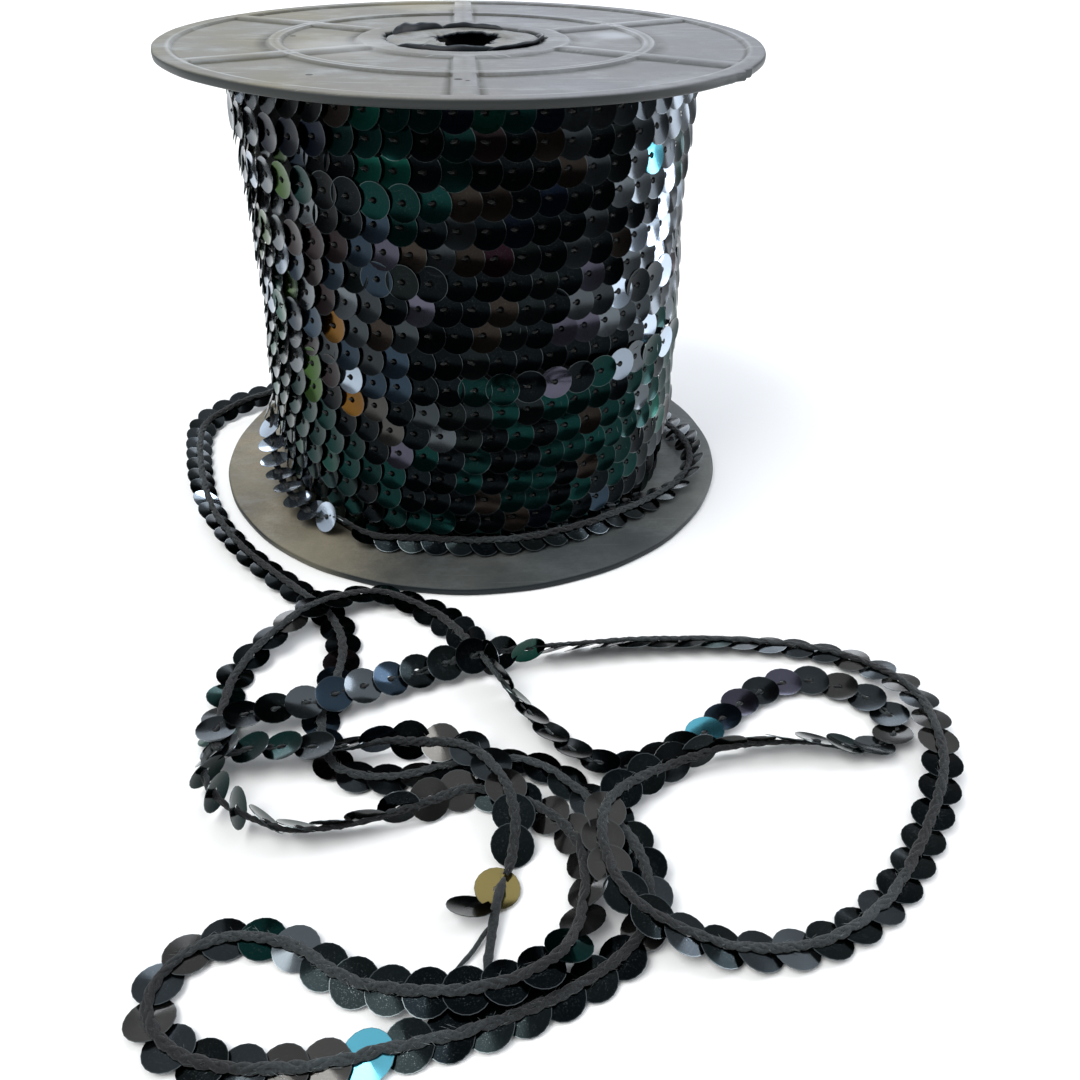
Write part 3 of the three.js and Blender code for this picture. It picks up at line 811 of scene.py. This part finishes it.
knots_mesh = chained(
    "loose_knots", knot_points(loose_points, LOOSE_LEAN), KNOT, THREAD, wobble=math.radians(15),
)
fibres_mesh = chained("loose_fibres", fibre_points(route), FIBRE, LINT, size_wobble=0.6)
thread_meshes = [*plies, knots_mesh, fibres_mesh]
print("triangles in plies, knots and fibres:", sum(triangles(m) for m in thread_meshes))


def joined(name, meshes):
    """One mesh from several, with all their materials."""
    objects = [place(f"{name}_{i}", mesh) for i, mesh in enumerate(meshes)]
    with bpy.context.temp_override(active_object=objects[0], selected_editable_objects=objects):
        bpy.ops.object.join()
    result = objects[0]
    result.name = name
    result.data.name = name
    return result


loose_trim = joined("loose_trim", [loose_mesh, *thread_meshes])
print("loose trim materials:", [m.name for m in loose_trim.data.materials])

# %% [markdown]
# ## The wound trim
# The strip goes round the core in some 18 rows up the height. Each row presses the one below,
# so rows wander a little, tilt, and in places stand out over a neighbour. On the spool the discs
# lie almost flat, each with its right edge over the next one, so only crescents show.

# %% Rows of discs on the winding
ROW_COUNT = 18
WINDING_LOW = 1.7
WINDING_HIGH = 77.7
WOUND_PITCH = 4.3
WOUND_DUST = 0.35  # discs that lie on the spool have caught less dust than the loose ones
WOUND_LEAN = math.radians(6)
WOUND_TIP = math.radians(11)  # discs look up a little, so each row covers the one below
FLANGE_ROOM = 2.3  # least height from a disc's middle to either end of the winding
WOUND_PATCH_FILL = 1.3
# A painted glint takes the nearest disc in each row that comes this close.
GLINT_REACH = 2.8  # an accent takes the nearest disc in each row that comes this close
WINDING_R = 38  # about, for distances round the winding
WINDING_SHAPE = [  # height and radius
    (WINDING_LOW, 37.3), (14, 38.3), (30, 38.2), (52, 37.6), (66, 38.1), (WINDING_HIGH, 38.6),
]
# Where turns bulge out or have slipped in: angle, height, reach, and how far out, in mm.
WINDING_LUMPS = [
    (-8, 45, 9, 0.9), (-4, 30, 8, 0.6), (-172, 36, 8, -0.9), (-160, 68, 10, 0.5), (60, 40, 14, 0.7),
    (140, 24, 12, -0.6),
]
# Patches where one tint rules on the winding, film colour and painted reflection; the light patches at the left
# and right sides are painted reflection: angle, height, reach, and its mix.
WINDING_TINT_AND_REFLECTION_PATCHES = [
    (-152, 68, 13, {"silver": 2, "grey": 4, "leaf": 1}), (-152, 45, 14, {"silver": 2, "grey": 4, "leaf": 1}),
    (-140, 62, 9, {"grey": 4, "lilac": 1, "charcoal": 1}),
    (-128, 70, 8, {"ink": 2, "navy": 2, "slate": 1, "brown": 1}),
    (-120, 58, 8, {"navy": 2, "brown": 2, "ink": 1}), (-100, 66, 14, {"teal": 6, "green": 2, "ink": 1}),
    (-112, 54, 6, {"slate": 2, "soot": 2}), (-104, 49, 9, {"grey": 2, "lilac": 1, "charcoal": 3}),
    (-128, 50, 8, {"slate": 2, "brown": 2, "grey": 1}), (-126, 40, 8, {"slate": 3, "charcoal": 2, "brown": 1}),
    (-112, 40, 11, {"charcoal": 3, "slate": 2, "grey": 1}), (-104, 31, 9, {"charcoal": 2, "smoke": 3, "slate": 2}),
    (-148, 34, 8, {"green": 3, "leaf": 1, "grey": 2}), (-140, 18, 12, {"green": 3, "teal": 4}),
    (-112, 24, 6, {"lilac": 2, "smoke": 2}), (-120, 12, 12, {"teal": 6, "green": 2}),
    (-98, 8, 12, {"teal": 3, "ink": 4}),
    (-86, 30, 11, {"ink": 5, "soot": 2}), (-86, 45, 13, {"ink": 5, "umber": 2, "soot": 2}),
    (-86, 18, 10, {"ink": 4, "teal": 3}), (-70, 62, 11, {"ink": 4, "navy": 2, "umber": 1, "soot": 1}),
    (-68, 45, 12, {"ink": 4, "umber": 2, "soot": 2, "wine": 1}), (-66, 20, 14, {"teal": 6, "ink": 2, "umber": 1}),
    (-62, 70, 7, {"ink": 3, "charcoal": 2}), (-48, 66, 9, {"charcoal": 3, "soot": 2, "grey": 1, "slate": 1}),
    (-50, 48, 10, {"charcoal": 3, "ink": 2, "grey": 1, "lilac": 1}),
    (-50, 32, 8, {"charcoal": 2, "lilac": 1, "ink": 2, "umber": 1}),
    (-34, 58, 12, {"silver": 1, "grey": 3, "charcoal": 2, "ink": 1}),
    (-28, 70, 8, {"grey": 3, "charcoal": 2, "teal": 1}),
    (-30, 40, 9, {"silver": 1, "grey": 2, "charcoal": 2, "teal": 1}), (-36, 24, 8, {"teal": 4, "grey": 1}),
    (-20, 30, 12, {"teal": 4, "green": 1}),
]
# Painted glints, discs given a lighter tint where they catch the light: angle, height and tint.
WINDING_PAINTED_GLINTS = [
    (-44, 66.5, "cyan"), (-124, 41, "gold"), (-122, 29, "gold"), (-50, 46, "pale"), (-38, 39, "pale"),
    (-32, 33, "pale"), (-137, 66, "leaf"), (-134, 31, "leaf"), (-33, 52, "pale"), (-34, 60, "pale"),
    (-31, 45, "pale"),
]
WOUND_MIX = {
    "ink": 5, "navy": 2, "teal": 3, "green": 1, "charcoal": 2.5, "slate": 1, "brown": 1,
    "umber": 1, "soot": 3,
}
# Stretches where a row stands proud of its neighbours or has sunk behind them: row, angle, half
# the width in degrees, how far out and how far up, in mm.
SLIPPED_ROWS = [
    (16, -142, 18, 1.2, -1.4), (15, -142, 18, -0.9, 0.4), (14, -142, 16, 0.9, 0), (13, -142, 14, -0.7, 0.3),
    (12, -142, 14, 0.7, 0), (7, -66, 24, 1.2, 0), (7, -30, 10, 1.4, 0), (14, -110, 14, 1.1, 0),
    (9, -140, 12, 0.8, 0), (8, -140, 12, -0.4, 0), (11, -104, 9, 0.8, 0), (10, -38, 10, 0.7, 0),
    (4, 60, 30, 1.0, 0), (11, 120, 40, 1.1, 0), (8, 20, 20, 0.9, 0), (3, -20, 16, 0.6, 0),
    (13, 40, 25, 0.9, 0),
]


def winding_radius(height):
    return np.interp(height, [h for h, r in WINDING_SHAPE], [r for h, r in WINDING_SHAPE])


def turned_apart(angle, other):
    return np.arctan2(np.sin(angle - other), np.cos(angle - other))


def wound_away(angle, height, place_angle, place_height):
    """How far points on the winding lie from a place on it, in mm."""
    return np.hypot(turned_apart(angle, math.radians(place_angle)) * WINDING_R, height - place_height)


def patch_share(angle, height, place_angle, place_height, reach):
    return np.exp(-(wound_away(angle, height, place_angle, place_height) / reach) ** 2)


def winding_row(row):
    """Discs of one row: angles, heights, radii and how far the strip tips over."""
    pitch = (WINDING_HIGH - WINDING_LOW) / ROW_COUNT
    count = round(2 * math.pi * (WINDING_R + 0.2) / WOUND_PITCH)
    angle = 2 * math.pi * (np.arange(count) + rng.uniform()) / count
    wander = 0.4 * np.sin(2 * angle + 0.4 * row) + 0.25 * np.sin(5 * angle + 0.9 * row + 1)
    height = WINDING_LOW + pitch * (row + 0.5) + wander
    out = 0.2 * np.sin(3 * angle + 0.5 * row) + rng.uniform(-0.1, 0.1)
    radius = winding_radius(height) + 0.3 + out
    for place_angle, place_height, reach, push in WINDING_LUMPS:
        radius += push * patch_share(angle, height, place_angle, place_height, reach)
    tip = WOUND_TIP + math.radians(2) * np.sin(4 * angle + row)
    tip += rng.normal(0, math.radians(1.2), count)
    for slipped, place_angle, half, push, lift in SLIPPED_ROWS:
        if slipped == row:
            share = np.exp(-(np.degrees(turned_apart(angle, math.radians(place_angle))) / half) ** 4)
            radius += push * share
            height += lift * share
            tip -= math.radians(10) * share * (push > 0)
    height = np.clip(height, WINDING_LOW + FLANGE_ROOM, WINDING_HIGH - FLANGE_ROOM)
    return angle, height, radius, tip


def winding_tints(angle, height):
    colours = draw_tints(WOUND_MIX, len(angle))
    for place_angle, place_height, reach, mix in WINDING_TINT_AND_REFLECTION_PATCHES:
        share = patch_share(angle, height, place_angle, place_height, reach)
        inside = rng.uniform(size=len(angle)) < WOUND_PATCH_FILL * share
        colours[inside] = draw_tints(mix, inside.sum())
    for place_angle, place_height, tint_and_reflection in WINDING_PAINTED_GLINTS:
        away = wound_away(angle, height, place_angle, place_height)
        if away.min() < GLINT_REACH:
            colours[away.argmin()] = linear(FILM_TINTS_AND_REFLECTIONS[tint_and_reflection])
    colours[:, 3] = WOUND_DUST
    return colours


def winding_points(rows):
    parts = {key: [] for key in ("place", "along", "front", "turn", "tint_and_reflection")}
    for row in rows:
        angle, height, radius, tip = winding_row(row)
        outward = np.stack([np.cos(angle), np.sin(angle), 0 * angle], 1)
        along = np.stack([-np.sin(angle), np.cos(angle), 0 * angle], 1)
        front = outward * np.cos(tip)[:, None] + np.array([0, 0, 1.0]) * np.sin(tip)[:, None]
        spot = outward * radius[:, None]
        spot[:, 2] = height
        parts["place"].append(spot * MM)
        parts["along"].append(along)
        parts["front"].append(front)
        parts["turn"].append(np.zeros((len(angle), 3)))
        parts["tint_and_reflection"].append(winding_tints(angle, height))
    return {key: np.vstack(value) for key, value in parts.items()}


BAND_ROWS = ROW_COUNT // 3
wound_points = {
    f"wound_sequins_{name}": winding_points(range(band * BAND_ROWS, (band + 1) * BAND_ROWS))
    for band, name in enumerate(("lower", "middle", "upper"))
}
wound_pieces = []
for number, (name, points) in enumerate(wound_points.items()):
    mesh = chained(
        name, points, SEQUIN, SEQUIN_FILM,
        lean=WOUND_LEAN, wobble=math.radians(2.2), size_wobble=0.03, seed=RNG_SEED + number,
    )
    wound_pieces.append(place(name, mesh, SEQUIN_FILM))
    print(name, "discs:", len(points["place"]), "triangles:", triangles(mesh))

# %% [markdown]
# ## Stitches on the winding
# On the sequin side only a knot of thread shows at each hole, with a short tail that dips under
# the disc to its left, and a little pale lint. The knots take the darker copy of the thread,
# painted shade. The knot is set once a disc and the lint twice.

# %% Stitches that show on the winding
knots = []
for name, points in wound_points.items():
    places = knot_points(points, WOUND_LEAN)
    for what, pattern, finish, wobble, size_wobble, seed in (
        # The knots use the thread in painted shade.
        ("knots", KNOT, SHADED_THREAD, 16, 0.3, RNG_SEED), ("lint", FIBRE, LINT, 38, 0.5, 31),
        ("more_lint", FIBRE, LINT, 38, 0.5, 32),
    ):
        knots.append(chained(
            f"{name}_{what}", places, pattern, finish,
            wobble=math.radians(wobble), size_wobble=size_wobble, seed=seed,
        ))
wound_stitches = joined("wound_stitches", knots)
print("triangles in the stitches:", triangles(wound_stitches.data))

# %% [markdown]
# ## What shows between the discs
# Behind the outer turns lie more turns, dark and out of the light. A turned barrel just inside
# the discs stands for them, raised in rows like the solid that it replaces.

# %% Inner turns


def turned_mesh(name, profile, sides, shift=None):
    """A closed profile of radius and height turned about Z; shift may change each radius."""
    points = []
    for radius, height in profile:
        for i in range(sides):
            turn = 2 * math.pi * i / sides
            points.append(at_radius(shift(radius, height, turn) if shift else radius, turn, height))
    return new_mesh(name, points, net_faces(len(profile), sides))


BARREL_HOLE = 15.8
BARREL_INSET = 2.2  # how far inside the discs the barrel's skin lies


def barrel_profile():
    profile = [(BARREL_HOLE, WINDING_LOW)]
    steps = ROW_COUNT * 4
    for i in range(steps + 1):
        height = WINDING_LOW + (WINDING_HIGH - WINDING_LOW) * i / steps
        bulge = 0.4 * abs(math.sin(math.pi * i / 4))
        profile.append((float(winding_radius(height)) - BARREL_INSET + bulge, height))
    profile.append((BARREL_HOLE, WINDING_HIGH))
    return profile


def barrel_shift(radius, height, turn):
    if radius == BARREL_HOLE:
        return radius
    return radius + sum(p * patch_share(turn, height, a, h, reach) for a, h, reach, p in WINDING_LUMPS)


barrel = turned_mesh("inner_turns", barrel_profile(), 96, barrel_shift)
inner_turns = place("inner_turns", barrel, SHADED_THREAD)
print("triangles in the inner turns:", triangles(inner_turns.data))

# %% [markdown]
# ## Flanges
# Both flanges are the same moulding: a flat plate with a raised rim, a middle ring, six ribs and
# a step round a torn middle hole. Every one of these is a height over a flat disc, so the outer
# face is one net of rings and spokes whose heights follow those forms, with soft mould edges.
# Spokes run beside the ribs, so that the ribs keep straight, crisp sides.

# %% Heights of the flange's outer face
SPOOL_HEIGHT = 79.4
PLATE_THICK = 1
RIB_COUNT = 6
RIB_APART = 60  # degrees
RIB_HALF = 1.7
RIB_FOOT, RIB_CREST = 2.1, 1.55  # from the rib's middle
RIB_OFFSETS = (-RIB_FOOT, -1.75, -RIB_CREST, 0, RIB_CREST, 1.75, RIB_FOOT)
BETWEEN_RIBS = 34
MOUTH_R, MOUTH_TEAR = 13.55, 0.75
FLANGE_RINGS = [
    14.3, 15.5, 16.6, 17.3, 17.6, 17.95, 18.4, 20, 22, 24, 26, 28, 29.4, 29.75, 30.05, 30.3, 31,
    31.7, 31.95, 32.25, 32.6, 34.5, 36.5, 38.5, 40.5, 42.5, 44.5, 46.3, 46.85, 47.2, 47.45, 48,
    48.9, 49.4,
]
RIM_PROFILE = [
    (49.75, 1.36), (49.93, 1.24), (50, 1.0), (50, 0.5), (49.95, 0.22), (49.75, 0.05), (49.4, 0),
]
INNER_FACE_RINGS = (44.7, 36, 26, 18)


def ramp(value, start, end):
    share = min(1.0, max(0.0, (value - start) / (end - start)))
    return share * share * (3 - 2 * share)


def face_height(radius, offset):
    """How thick the flange is at a radius and a distance from the nearest rib's middle."""
    raised_up = max(
        1 - ramp(radius, 17.5, 18.0), ramp(radius, 29.7, 30.1) * (1 - ramp(radius, 31.9, 32.3)),
        ramp(radius, 46.8, 47.3), 1 - ramp(abs(offset), RIB_HALF - 0.15, RIB_HALF + 0.1),
    )
    return PLATE_THICK + (FLANGE_THICK - PLATE_THICK) * raised_up


def rib_shade_and_highlight(radius, offset):
    """How much painted shade (first) and painted highlight (second) the face takes at a radius and rib distance.
    """
    shaded_feet = (18.4, 29.75, 32.6, 46.85)
    highlight_crests = (17.6, 30.3, 31.7, 47.45)
    on_rib = abs(offset) < RIB_HALF
    foot = max(0.0, 1 - min(abs(radius - f) for f in shaded_feet) / 0.5) if not on_rib else 0.0
    crest_highlight = max(0.0, 1 - min(abs(radius - c) for c in highlight_crests) / 0.4)
    if 18.4 < radius < 46.5:
        foot = max(foot, 1.0 if abs(abs(offset) - RIB_FOOT) < 0.1 else 0.0)
        crest_highlight = max(crest_highlight, 1.0 if abs(abs(offset) - RIB_CREST) < 0.1 else 0.0)
    return foot, crest_highlight, 0.0


def torn(turn, radius, depth):
    """The uneven outline that torn skin leaves."""
    bite = 0.5 * math.sin(3 * turn + 0.6) + 0.3 * math.sin(7 * turn) + 0.2 * math.sin(11 * turn + 2)
    fine = 0.35 * math.sin(23 * turn + 1) + 0.25 * math.sin(41 * turn)
    return radius + depth * (bite + 0.6 * fine)


def spokes(radius):
    """Angles of the net at one radius, with each one's distance from its rib's middle."""
    rows = []
    for rib in range(RIB_COUNT):
        middle = math.radians(RIB_APART / 2 + RIB_APART * rib)
        for offset in RIB_OFFSETS:
            rows.append((middle + math.asin(offset / radius), offset))
        edge = math.asin(RIB_FOOT / radius)
        span = math.radians(RIB_APART) - 2 * edge
        for k in range(1, BETWEEN_RIBS):
            turn = middle + edge + span * k / BETWEEN_RIBS
            near = min(k, BETWEEN_RIBS - k)
            rows.append((turn, RIB_FOOT + near))
    return rows


CHIP_ANGLE = -36  # where a chip stands out of the rim


def rim_wear(turn):
    """Nicks in the rim: how far the edge is worn in or pushed out at an angle."""
    worn = 0.05 * math.sin(9 * turn) + 0.04 * math.sin(23 * turn + 2)
    away = math.degrees(turned_apart(turn, math.radians(CHIP_ANGLE)))
    if abs(away) < 7:
        jagged = 0.55 * math.sin(away * 2.1) * math.exp(-(away / 5) ** 2)
        worn += jagged + 0.35 * math.exp(-(away / 3) ** 2)
    return float(worn)


def flange_mesh(name, outward):
    """outward is 1 for the upper flange and -1 for the lower one, which is turned over."""
    hole = [(torn(t, MOUTH_R, MOUTH_TEAR), t) for t, o in spokes(FLANGE_RINGS[0])]
    rows = [[(r, t, FLANGE_THICK - 0.15) for r, t in hole]]
    rows += [[(radius, t, face_height(radius, o)) for t, o in spokes(radius)] for radius in FLANGE_RINGS]
    rows += [[(radius + rim_wear(t), t, z) for t, o in spokes(radius)] for radius, z in RIM_PROFILE]
    rows += [[(radius, t, 0) for t, o in spokes(radius)] for radius in INNER_FACE_RINGS]
    rows.append([(r, t, 0) for r, t in hole])
    base = SPOOL_HEIGHT - FLANGE_THICK if outward > 0 else FLANGE_THICK
    points = []
    for row in rows:
        for radius, turn, height in row:
            warp = 0.12 * math.sin(2 * turn + 0.5) * (radius / FLANGE_R) ** 2
            z = base + outward * (height + (warp if outward > 0 else 0))
            points.append(at_radius(radius, turn * outward, z))
    sides = len(rows[0])
    mesh = new_mesh(name, points, net_faces(len(rows), sides, turned_over=True))
    # Painted shade at the foot of the ribs and rings, and a painted highlight along their crests, stored on the
    # points.
    painted_rib_marks = np.zeros((len(points), 3), np.float32)
    for row, radius in enumerate(FLANGE_RINGS, start=1):
        for i, (turn, offset) in enumerate(spokes(radius)):
            painted_rib_marks[row * sides + i] = rib_shade_and_highlight(radius, offset)
    mesh.attributes.new("painted_rib_light", "FLOAT_VECTOR", "POINT").data.foreach_set("vector", painted_rib_marks.ravel())
    return mesh


upper_flange = place("upper_flange", flange_mesh("upper_flange", 1), UPPER_PLASTIC)
lower_flange = place("lower_flange", flange_mesh("lower_flange", -1), LOWER_PLASTIC)
print("triangles in a flange:", triangles(upper_flange.data))

# %% [markdown]
# ## Core and torn skin
# A thin moulding skin closes the core's mouth. A spindle was pushed through it, which left a
# ragged hole. Four tongues of torn skin stand up along the mouth and curl over.

# %% Core tube and skins
core_profile = [(13.6, WINDING_LOW), (15.5, WINDING_LOW), (15.5, WINDING_HIGH), (13.6, WINDING_HIGH)]
core_tube = place("core_tube", turned_mesh("core_tube", core_profile, 96), LOWER_PLASTIC)


def skin_mesh(name, middle, tear, curl, facing):
    """A thin disc with a ragged hole; its inner rings curl the way a spindle pushed them."""
    sides = 180
    half_thick = 0.22
    rings = (12.95, 12.3, 11.4, 10.6, 9.9, 8.6)
    half_width, half_length = 5.4, 8.6  # of the oval hole
    rows = []
    for side in (1, -1):
        level = []
        for k, radius in enumerate(rings + (None,)):
            level.append([])
            for i in range(sides):
                turn = 2 * math.pi * i / sides
                splinter = 0.35 * math.sin(67 * turn) * math.sin(29 * turn + 1)
                oval = 1 / math.hypot(math.cos(turn) / half_width, math.sin(turn) / half_length)
                edge = torn(turn, oval, tear) + tear * splinter
                if radius is None:
                    r = max(edge, 2.5)
                else:
                    r = max(radius - 1.5 * abs(math.cos(turn)), edge + 0.3 * (len(rings) - k))
                r = max(r, rings[0] if k == 0 else 0)
                lobes = 0.4 + math.sin(2 * turn + 0.4) + 0.4 * math.sin(5 * turn)
                fold = ramp(edge + 3 - r, 0, 3) * curl * lobes
                crease = 0.16 * math.sin(5 * turn + r) + 0.1 * math.sin(13 * turn + 2 * r)
                level[-1].append((r, turn, fold + crease * curl + side * half_thick))
        rows += level if side > 0 else level[::-1]
    points = [at_radius(r, turn, middle + facing * h) for row in rows for r, turn, h in row]
    faces = net_faces(len(rows), sides)
    return new_mesh(name, points, faces if facing > 0 else [face[::-1] for face in faces])


def curled_strip(name, start, end, foot, tip, lift, thick=0.35):
    """A strip of torn skin that stands up along an arc of the mouth and curls over its own edge."""
    count = 70
    mouth = 78.95
    shape = ((0, 0), (0.35, 0.75), (0.75, 1), (1, 0.8))
    rows = [[] for _ in range(2 * len(shape))]
    for i in range(count + 1):
        share = i / count
        turn = math.radians(start + (end - start) * share)
        swell = math.sin(math.pi * share) ** 0.5
        ragged = 1 + 0.16 * math.sin(9 * share + 1) + 0.08 * math.sin(23 * share)
        for k, (out, up) in enumerate(shape):
            r = foot + (tip - foot) * out * (0.5 + 0.5 * swell)
            z = mouth + lift * up * ragged * swell
            rows[k].append((r * math.cos(turn), r * math.sin(turn), z + thick / 2))
            rows[-1 - k].append((r * math.cos(turn), r * math.sin(turn), z - thick / 2))
    points = [Vector(p) * MM for row in rows for p in row]
    size = count + 1
    faces = []
    for k in range(len(rows)):
        after = (k + 1) % len(rows)
        for i in range(count):
            faces.append((k * size + i, k * size + i + 1, after * size + i + 1, after * size + i))
    faces.append([k * size for k in range(len(rows))])
    faces.append([k * size + count for k in reversed(range(len(rows)))])
    mesh = new_mesh(name, points, faces)
    if (end - start) * (tip - foot) > 0:
        mesh.flip_normals()
    return mesh


upper_skin = place("upper_core_skin", skin_mesh("upper_core_skin", 78.85, 1.0, 0.35, 1), TORN_SKIN)
# Where each tongue starts and ends in degrees, the radii of its foot and its tip, and its lift.
curls = [
    curled_strip("front_curl", 214, 300, 12.9, 12.2, 0.9),
    curled_strip("right_curl", 286, 378, 12.8, 13.5, 1.1),
    curled_strip("left_curl", 106, 158, 12.6, 13.6, 1.2),
    curled_strip("back_curl", 58, 108, 12.8, 13.5, 0.8),
]
for mesh in curls:
    mesh.materials.append(CURLED_SKIN)
curled_skin = joined("curled_skin", curls)
lower_skin = place("lower_core_skin", skin_mesh("lower_core_skin", 1.3, 0.3, 0.2, -1), TORN_SKIN)
print("triangles in a skin:", triangles(upper_skin.data))

# %% [markdown]
# ## The frayed end
# The last 12 mm is bare thread with two discs left on it: a gold one that has turned over flat,
# and a dark one on edge. The thread splits into the end and a short branch.

# %% Frayed thread and its two discs
THREAD_RUN = [
    (2.4, -108.6, 1.2), (1.5, -112, 1.7), (0.9, -115, 1.4), (0.3, -118.6, 0.8), (-0.2, -121, 0.6),
]
BRANCH_RUN = [(1.0, -114.6, 1.2), (-0.4, -116.4, 0.8), (-1.7, -118.3, 0.6), (-3.7, -120.4, 0.4)]


def bare_thread(name, rows, width, thick):
    line = evenly(smooth_line([(*row, 0) for row in rows]), ROUTE_STEP)[:, :3]
    return place(name, tube_mesh(name, line, width, thick, sides=8), THREAD)


frayed_thread = bare_thread("frayed_thread", THREAD_RUN, 1.15, 0.7)
frayed_branch = bare_thread("frayed_branch", BRANCH_RUN, 0.6, 0.45)
last_points = {
    "place": np.array([(1.5, -109.9, 0.6), (-1.9, -113.1, 1.6)]) * MM,
    "along": np.array([(1.0, 0, 0), (0.95, -0.2, 0.2)]),
    "front": np.array([(0.1, -0.1, 1.0), (0.1, 0.35, 0.6)]),
    "turn": np.zeros((2, 3)),
    "tint_and_reflection": np.array([linear(FILM_TINTS_AND_REFLECTIONS["pale_gold"]), linear(FILM_TINTS_AND_REFLECTIONS["ink"])]),
}
last_discs = place("last_discs", chained("last_discs", last_points, SEQUIN, SEQUIN_FILM), SEQUIN_FILM)
print("pieces at the end:", frayed_thread.name, frayed_branch.name, last_discs.name)

# %% [markdown]
# ## Pieces on the body
# The patterns have done their work and go. Every piece rides on the one body, and the solids
# that a piece stands for are hidden. The loose trim is a flat strip 5.8 mm wide, limp, which
# the picture shows from the winding to its frayed end.

# %% Riding and replacing
for pattern in (SEQUIN, KNOT, FIBRE):
    bpy.data.objects.remove(pattern)

PIECES = [
    (loose_trim, "sequins", [
        "slack_turn", "loose_trim_left_run", "loose_trim_middle_run", "loose_trim_end_run",
    ]),
    *((band, "sequins", ["wound_trim"]) for band in wound_pieces),
    (wound_stitches, "thread", ["wound_trim"]),
    (inner_turns, "thread", ["wound_trim"]), (upper_flange, "spool_plastic", ["flange_top"]),
    (lower_flange, "spool_plastic", ["flange_bottom"]), (core_tube, "spool_plastic", ["core"]),
    (upper_skin, "core_skin", ["core_skin_top"]), (curled_skin, "core_skin", ["core_skin_top"]),
    (lower_skin, "core_skin", ["core_skin_bottom"]),
    (frayed_thread, "thread", ["thread_end"]), (frayed_branch, "thread", ["thread_branch"]),
    (last_discs, "sequins", []),
]
for piece, finish, nodes in PIECES:
    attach(piece, "root")
    if nodes:
        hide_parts(*nodes)

# %% [markdown]
# ## Floor and light
# A pale floor, a large soft light above and in front, a strip on the right that gives the white
# glints on that side, and a light behind that grazes the dusty top. The room is dark in front,
# so that discs that look at the viewer stay black, and light overhead and behind.

# %% Floor and lights


def pale_floor():
    material, tree, spot = new_material("pale_matt_floor")
    colour = mixed(tree, noise(tree, spot, 3.0, 1.0), linear("#f2f2f0"), linear("#efefed"))
    return surfaced(material, tree, colour, Roughness=0.9)


FLOOR_HALF = 8
floor_corners = [(x * FLOOR_HALF, y * FLOOR_HALF, 0) for x, y in ((-1, -1), (1, -1), (1, 1), (-1, 1))]
floor = place("floor", new_mesh("floor", floor_corners, [(0, 1, 2, 3)], smooth=False), pale_floor())


def soft_light(name, place_at, aim_at, width, height, watts, colour="#ffffff"):
    lamp = bpy.data.lights.new(name, "AREA")
    lamp.shape = "RECTANGLE"
    lamp.size, lamp.size_y = width, height
    lamp.energy = watts
    lamp.color = linear(colour)[:3]
    light = bpy.data.objects.new(name, lamp)
    look = (Vector(aim_at) - Vector(place_at)).to_track_quat("-Z", "Y")
    light.matrix_world = Matrix.Translation(Vector(place_at)) @ look.to_matrix().to_4x4()
    bpy.context.scene.collection.objects.link(light)


soft_light("key_above_left", (-0.55, -0.35, 0.95), (0, -0.03, 0.02), 0.8, 0.8, 11)
soft_light("strip_right", (0.75, 0.1, 0.35), (0, 0, 0.04), 0.25, 0.9, 5, "#f1f4ff")
soft_light("graze_behind", (-0.1, 1.1, 0.5), (0, 0, 0.07), 1.2, 0.4, 7, "#eef4ff")

world = bpy.data.worlds.new("studio")
bpy.context.scene.world = world
world.use_nodes = True
tree = world.node_tree
tree.nodes.clear()
room = add_node(tree, "ShaderNodeTexCoord").outputs["Generated"]
toward = add_node(tree, "ShaderNodeSeparateXYZ", Vector=room).outputs
front_wall = ranged(tree, toward[1], -0.75, 0.35, 0.12, 0.62, "SMOOTHSTEP")
overhead = ranged(tree, toward[2], 0.25, 0.8, 0.0, 0.5, "SMOOTHSTEP")
level = worked(tree, "ADD", front_wall, overhead)
sky = add_node(tree, "ShaderNodeBackground", Color=linear("#e9edf2"), Strength=level)
add_node(tree, "ShaderNodeOutputWorld", Surface=sky.outputs[0])
bpy.context.scene.view_settings.view_transform = "Standard"
